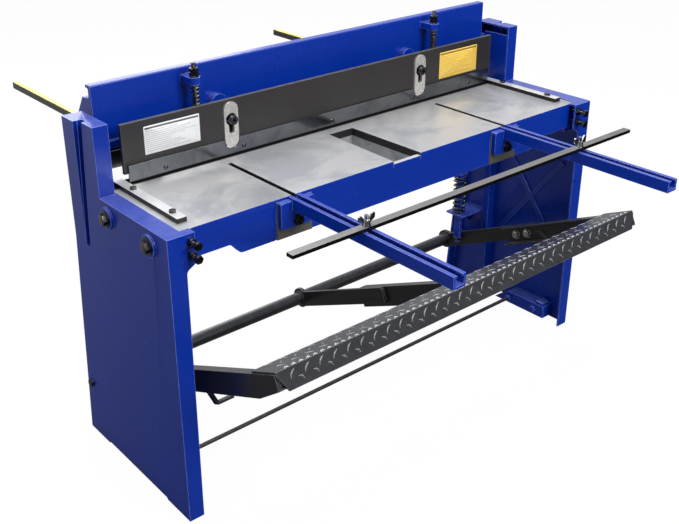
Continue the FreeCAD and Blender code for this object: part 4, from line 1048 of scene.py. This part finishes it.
def white_world():
    """White where the camera sees it, and for other light a sky that is brightest behind."""
    world = bpy.data.worlds.new("studio")
    world.use_nodes = True
    tree = world.node_tree
    direction = tree.nodes.new("ShaderNodeTexCoord").outputs["Generated"]
    split = tree.nodes.new("ShaderNodeSeparateXYZ")
    tree.links.new(direction, split.inputs[0])
    light = tree.nodes["Background"]
    sky = math_node(tree, "MULTIPLY", ramp(tree, split.outputs["Z"], SKY_BY_HEIGHT),
                    ramp(tree, split.outputs["Y"], SKY_BEHIND))
    tree.links.new(sky, light.inputs["Color"])
    light.inputs["Strength"].default_value = 1.0
    white = tree.nodes.new("ShaderNodeBackground")
    white.inputs["Color"].default_value = (1.0, 1.0, 1.0, 1.0)
    white.inputs["Strength"].default_value = 1.0
    path = tree.nodes.new("ShaderNodeLightPath")
    mix = tree.nodes.new("ShaderNodeMixShader")
    tree.links.new(path.outputs["Is Camera Ray"], mix.inputs["Fac"])
    tree.links.new(light.outputs["Background"], mix.inputs[1])
    tree.links.new(white.outputs["Background"], mix.inputs[2])
    tree.links.new(mix.outputs["Shader"], tree.nodes["World Output"].inputs["Surface"])
    scene.world = world


def pale_floor():
    """Floor that is nearly white to the camera and keeps a faint shadow.

    Its mirror image in the machine is dark in front and bright behind, as in the photograph.
    """
    mesh = bpy.data.meshes.new("floor")
    mesh.from_pydata([(x * FLOOR_HALF, y * FLOOR_HALF, 0)
                      for x, y in ((-1, -1), (1, -1), (1, 1), (-1, 1))], [], [(0, 1, 2, 3)])
    floor = bpy.data.objects.new("floor", mesh)
    scene.collection.objects.link(floor)
    material = bpy.data.materials.new("floor_white")
    material.use_nodes = True
    tree = material.node_tree
    shader = tree.nodes["Principled BSDF"]
    shader.inputs["Base Color"].default_value = (0.34, 0.34, 0.35, 1.0)
    shader.inputs["Roughness"].default_value = 0.9
    shader.inputs["Specular IOR Level"].default_value = 0.0
    glow = tree.nodes.new("ShaderNodeEmission")
    glow.inputs["Strength"].default_value = FLOOR_GLOW
    image = tree.nodes.new("ShaderNodeEmission")
    place = tree.nodes.new("ShaderNodeTexCoord").outputs["Object"]
    far = tree.nodes.new("ShaderNodeSeparateXYZ")
    tree.links.new(place, far.inputs[0])
    (dark_y, dark), (bright_y, bright) = FLOOR_IMAGE
    tree.links.new(between(tree, far.outputs["Y"], dark, bright, dark_y, bright_y),
                   image.inputs["Strength"])
    path = tree.nodes.new("ShaderNodeLightPath")
    mirrored = tree.nodes.new("ShaderNodeMixShader")
    tree.links.new(path.outputs["Is Glossy Ray"], mirrored.inputs["Fac"])
    tree.links.new(shader.outputs["BSDF"], mirrored.inputs[1])
    tree.links.new(image.outputs["Emission"], mirrored.inputs[2])
    share = math_node(tree, "MULTIPLY", path.outputs["Is Camera Ray"], FLOOR_GLOW_SHARE)
    mix = tree.nodes.new("ShaderNodeMixShader")
    tree.links.new(share, mix.inputs["Fac"])
    tree.links.new(mirrored.outputs["Shader"], mix.inputs[1])
    tree.links.new(glow.outputs["Emission"], mix.inputs[2])
    tree.links.new(mix.outputs["Shader"], tree.nodes["Material Output"].inputs["Surface"])
    mesh.materials.append(material)


def softbox(name, place, target, size, watts):
    """Lamp of a width and a height that looks at a point."""
    data = bpy.data.lights.new(name, "AREA")
    data.shape = "RECTANGLE"
    data.size = size[0]
    data.size_y = size[1]
    data.energy = watts
    lamp = bpy.data.objects.new(name, data)
    _, up, back = frame_of(np.asarray(place, float) - np.asarray(target, float))
    right = np.cross(up, back)
    lamp.visible_camera = False
    turn = Matrix(np.stack([right, up, back], axis=1).tolist()).to_4x4()
    lamp.matrix_world = Matrix.Translation(place) @ turn
    scene.collection.objects.link(lamp)


photo_camera()
white_world()
pale_floor()
for lamp_name, settings in LAMPS.items():
    softbox(lamp_name, *settings)
scene.view_settings.view_transform = "Standard"
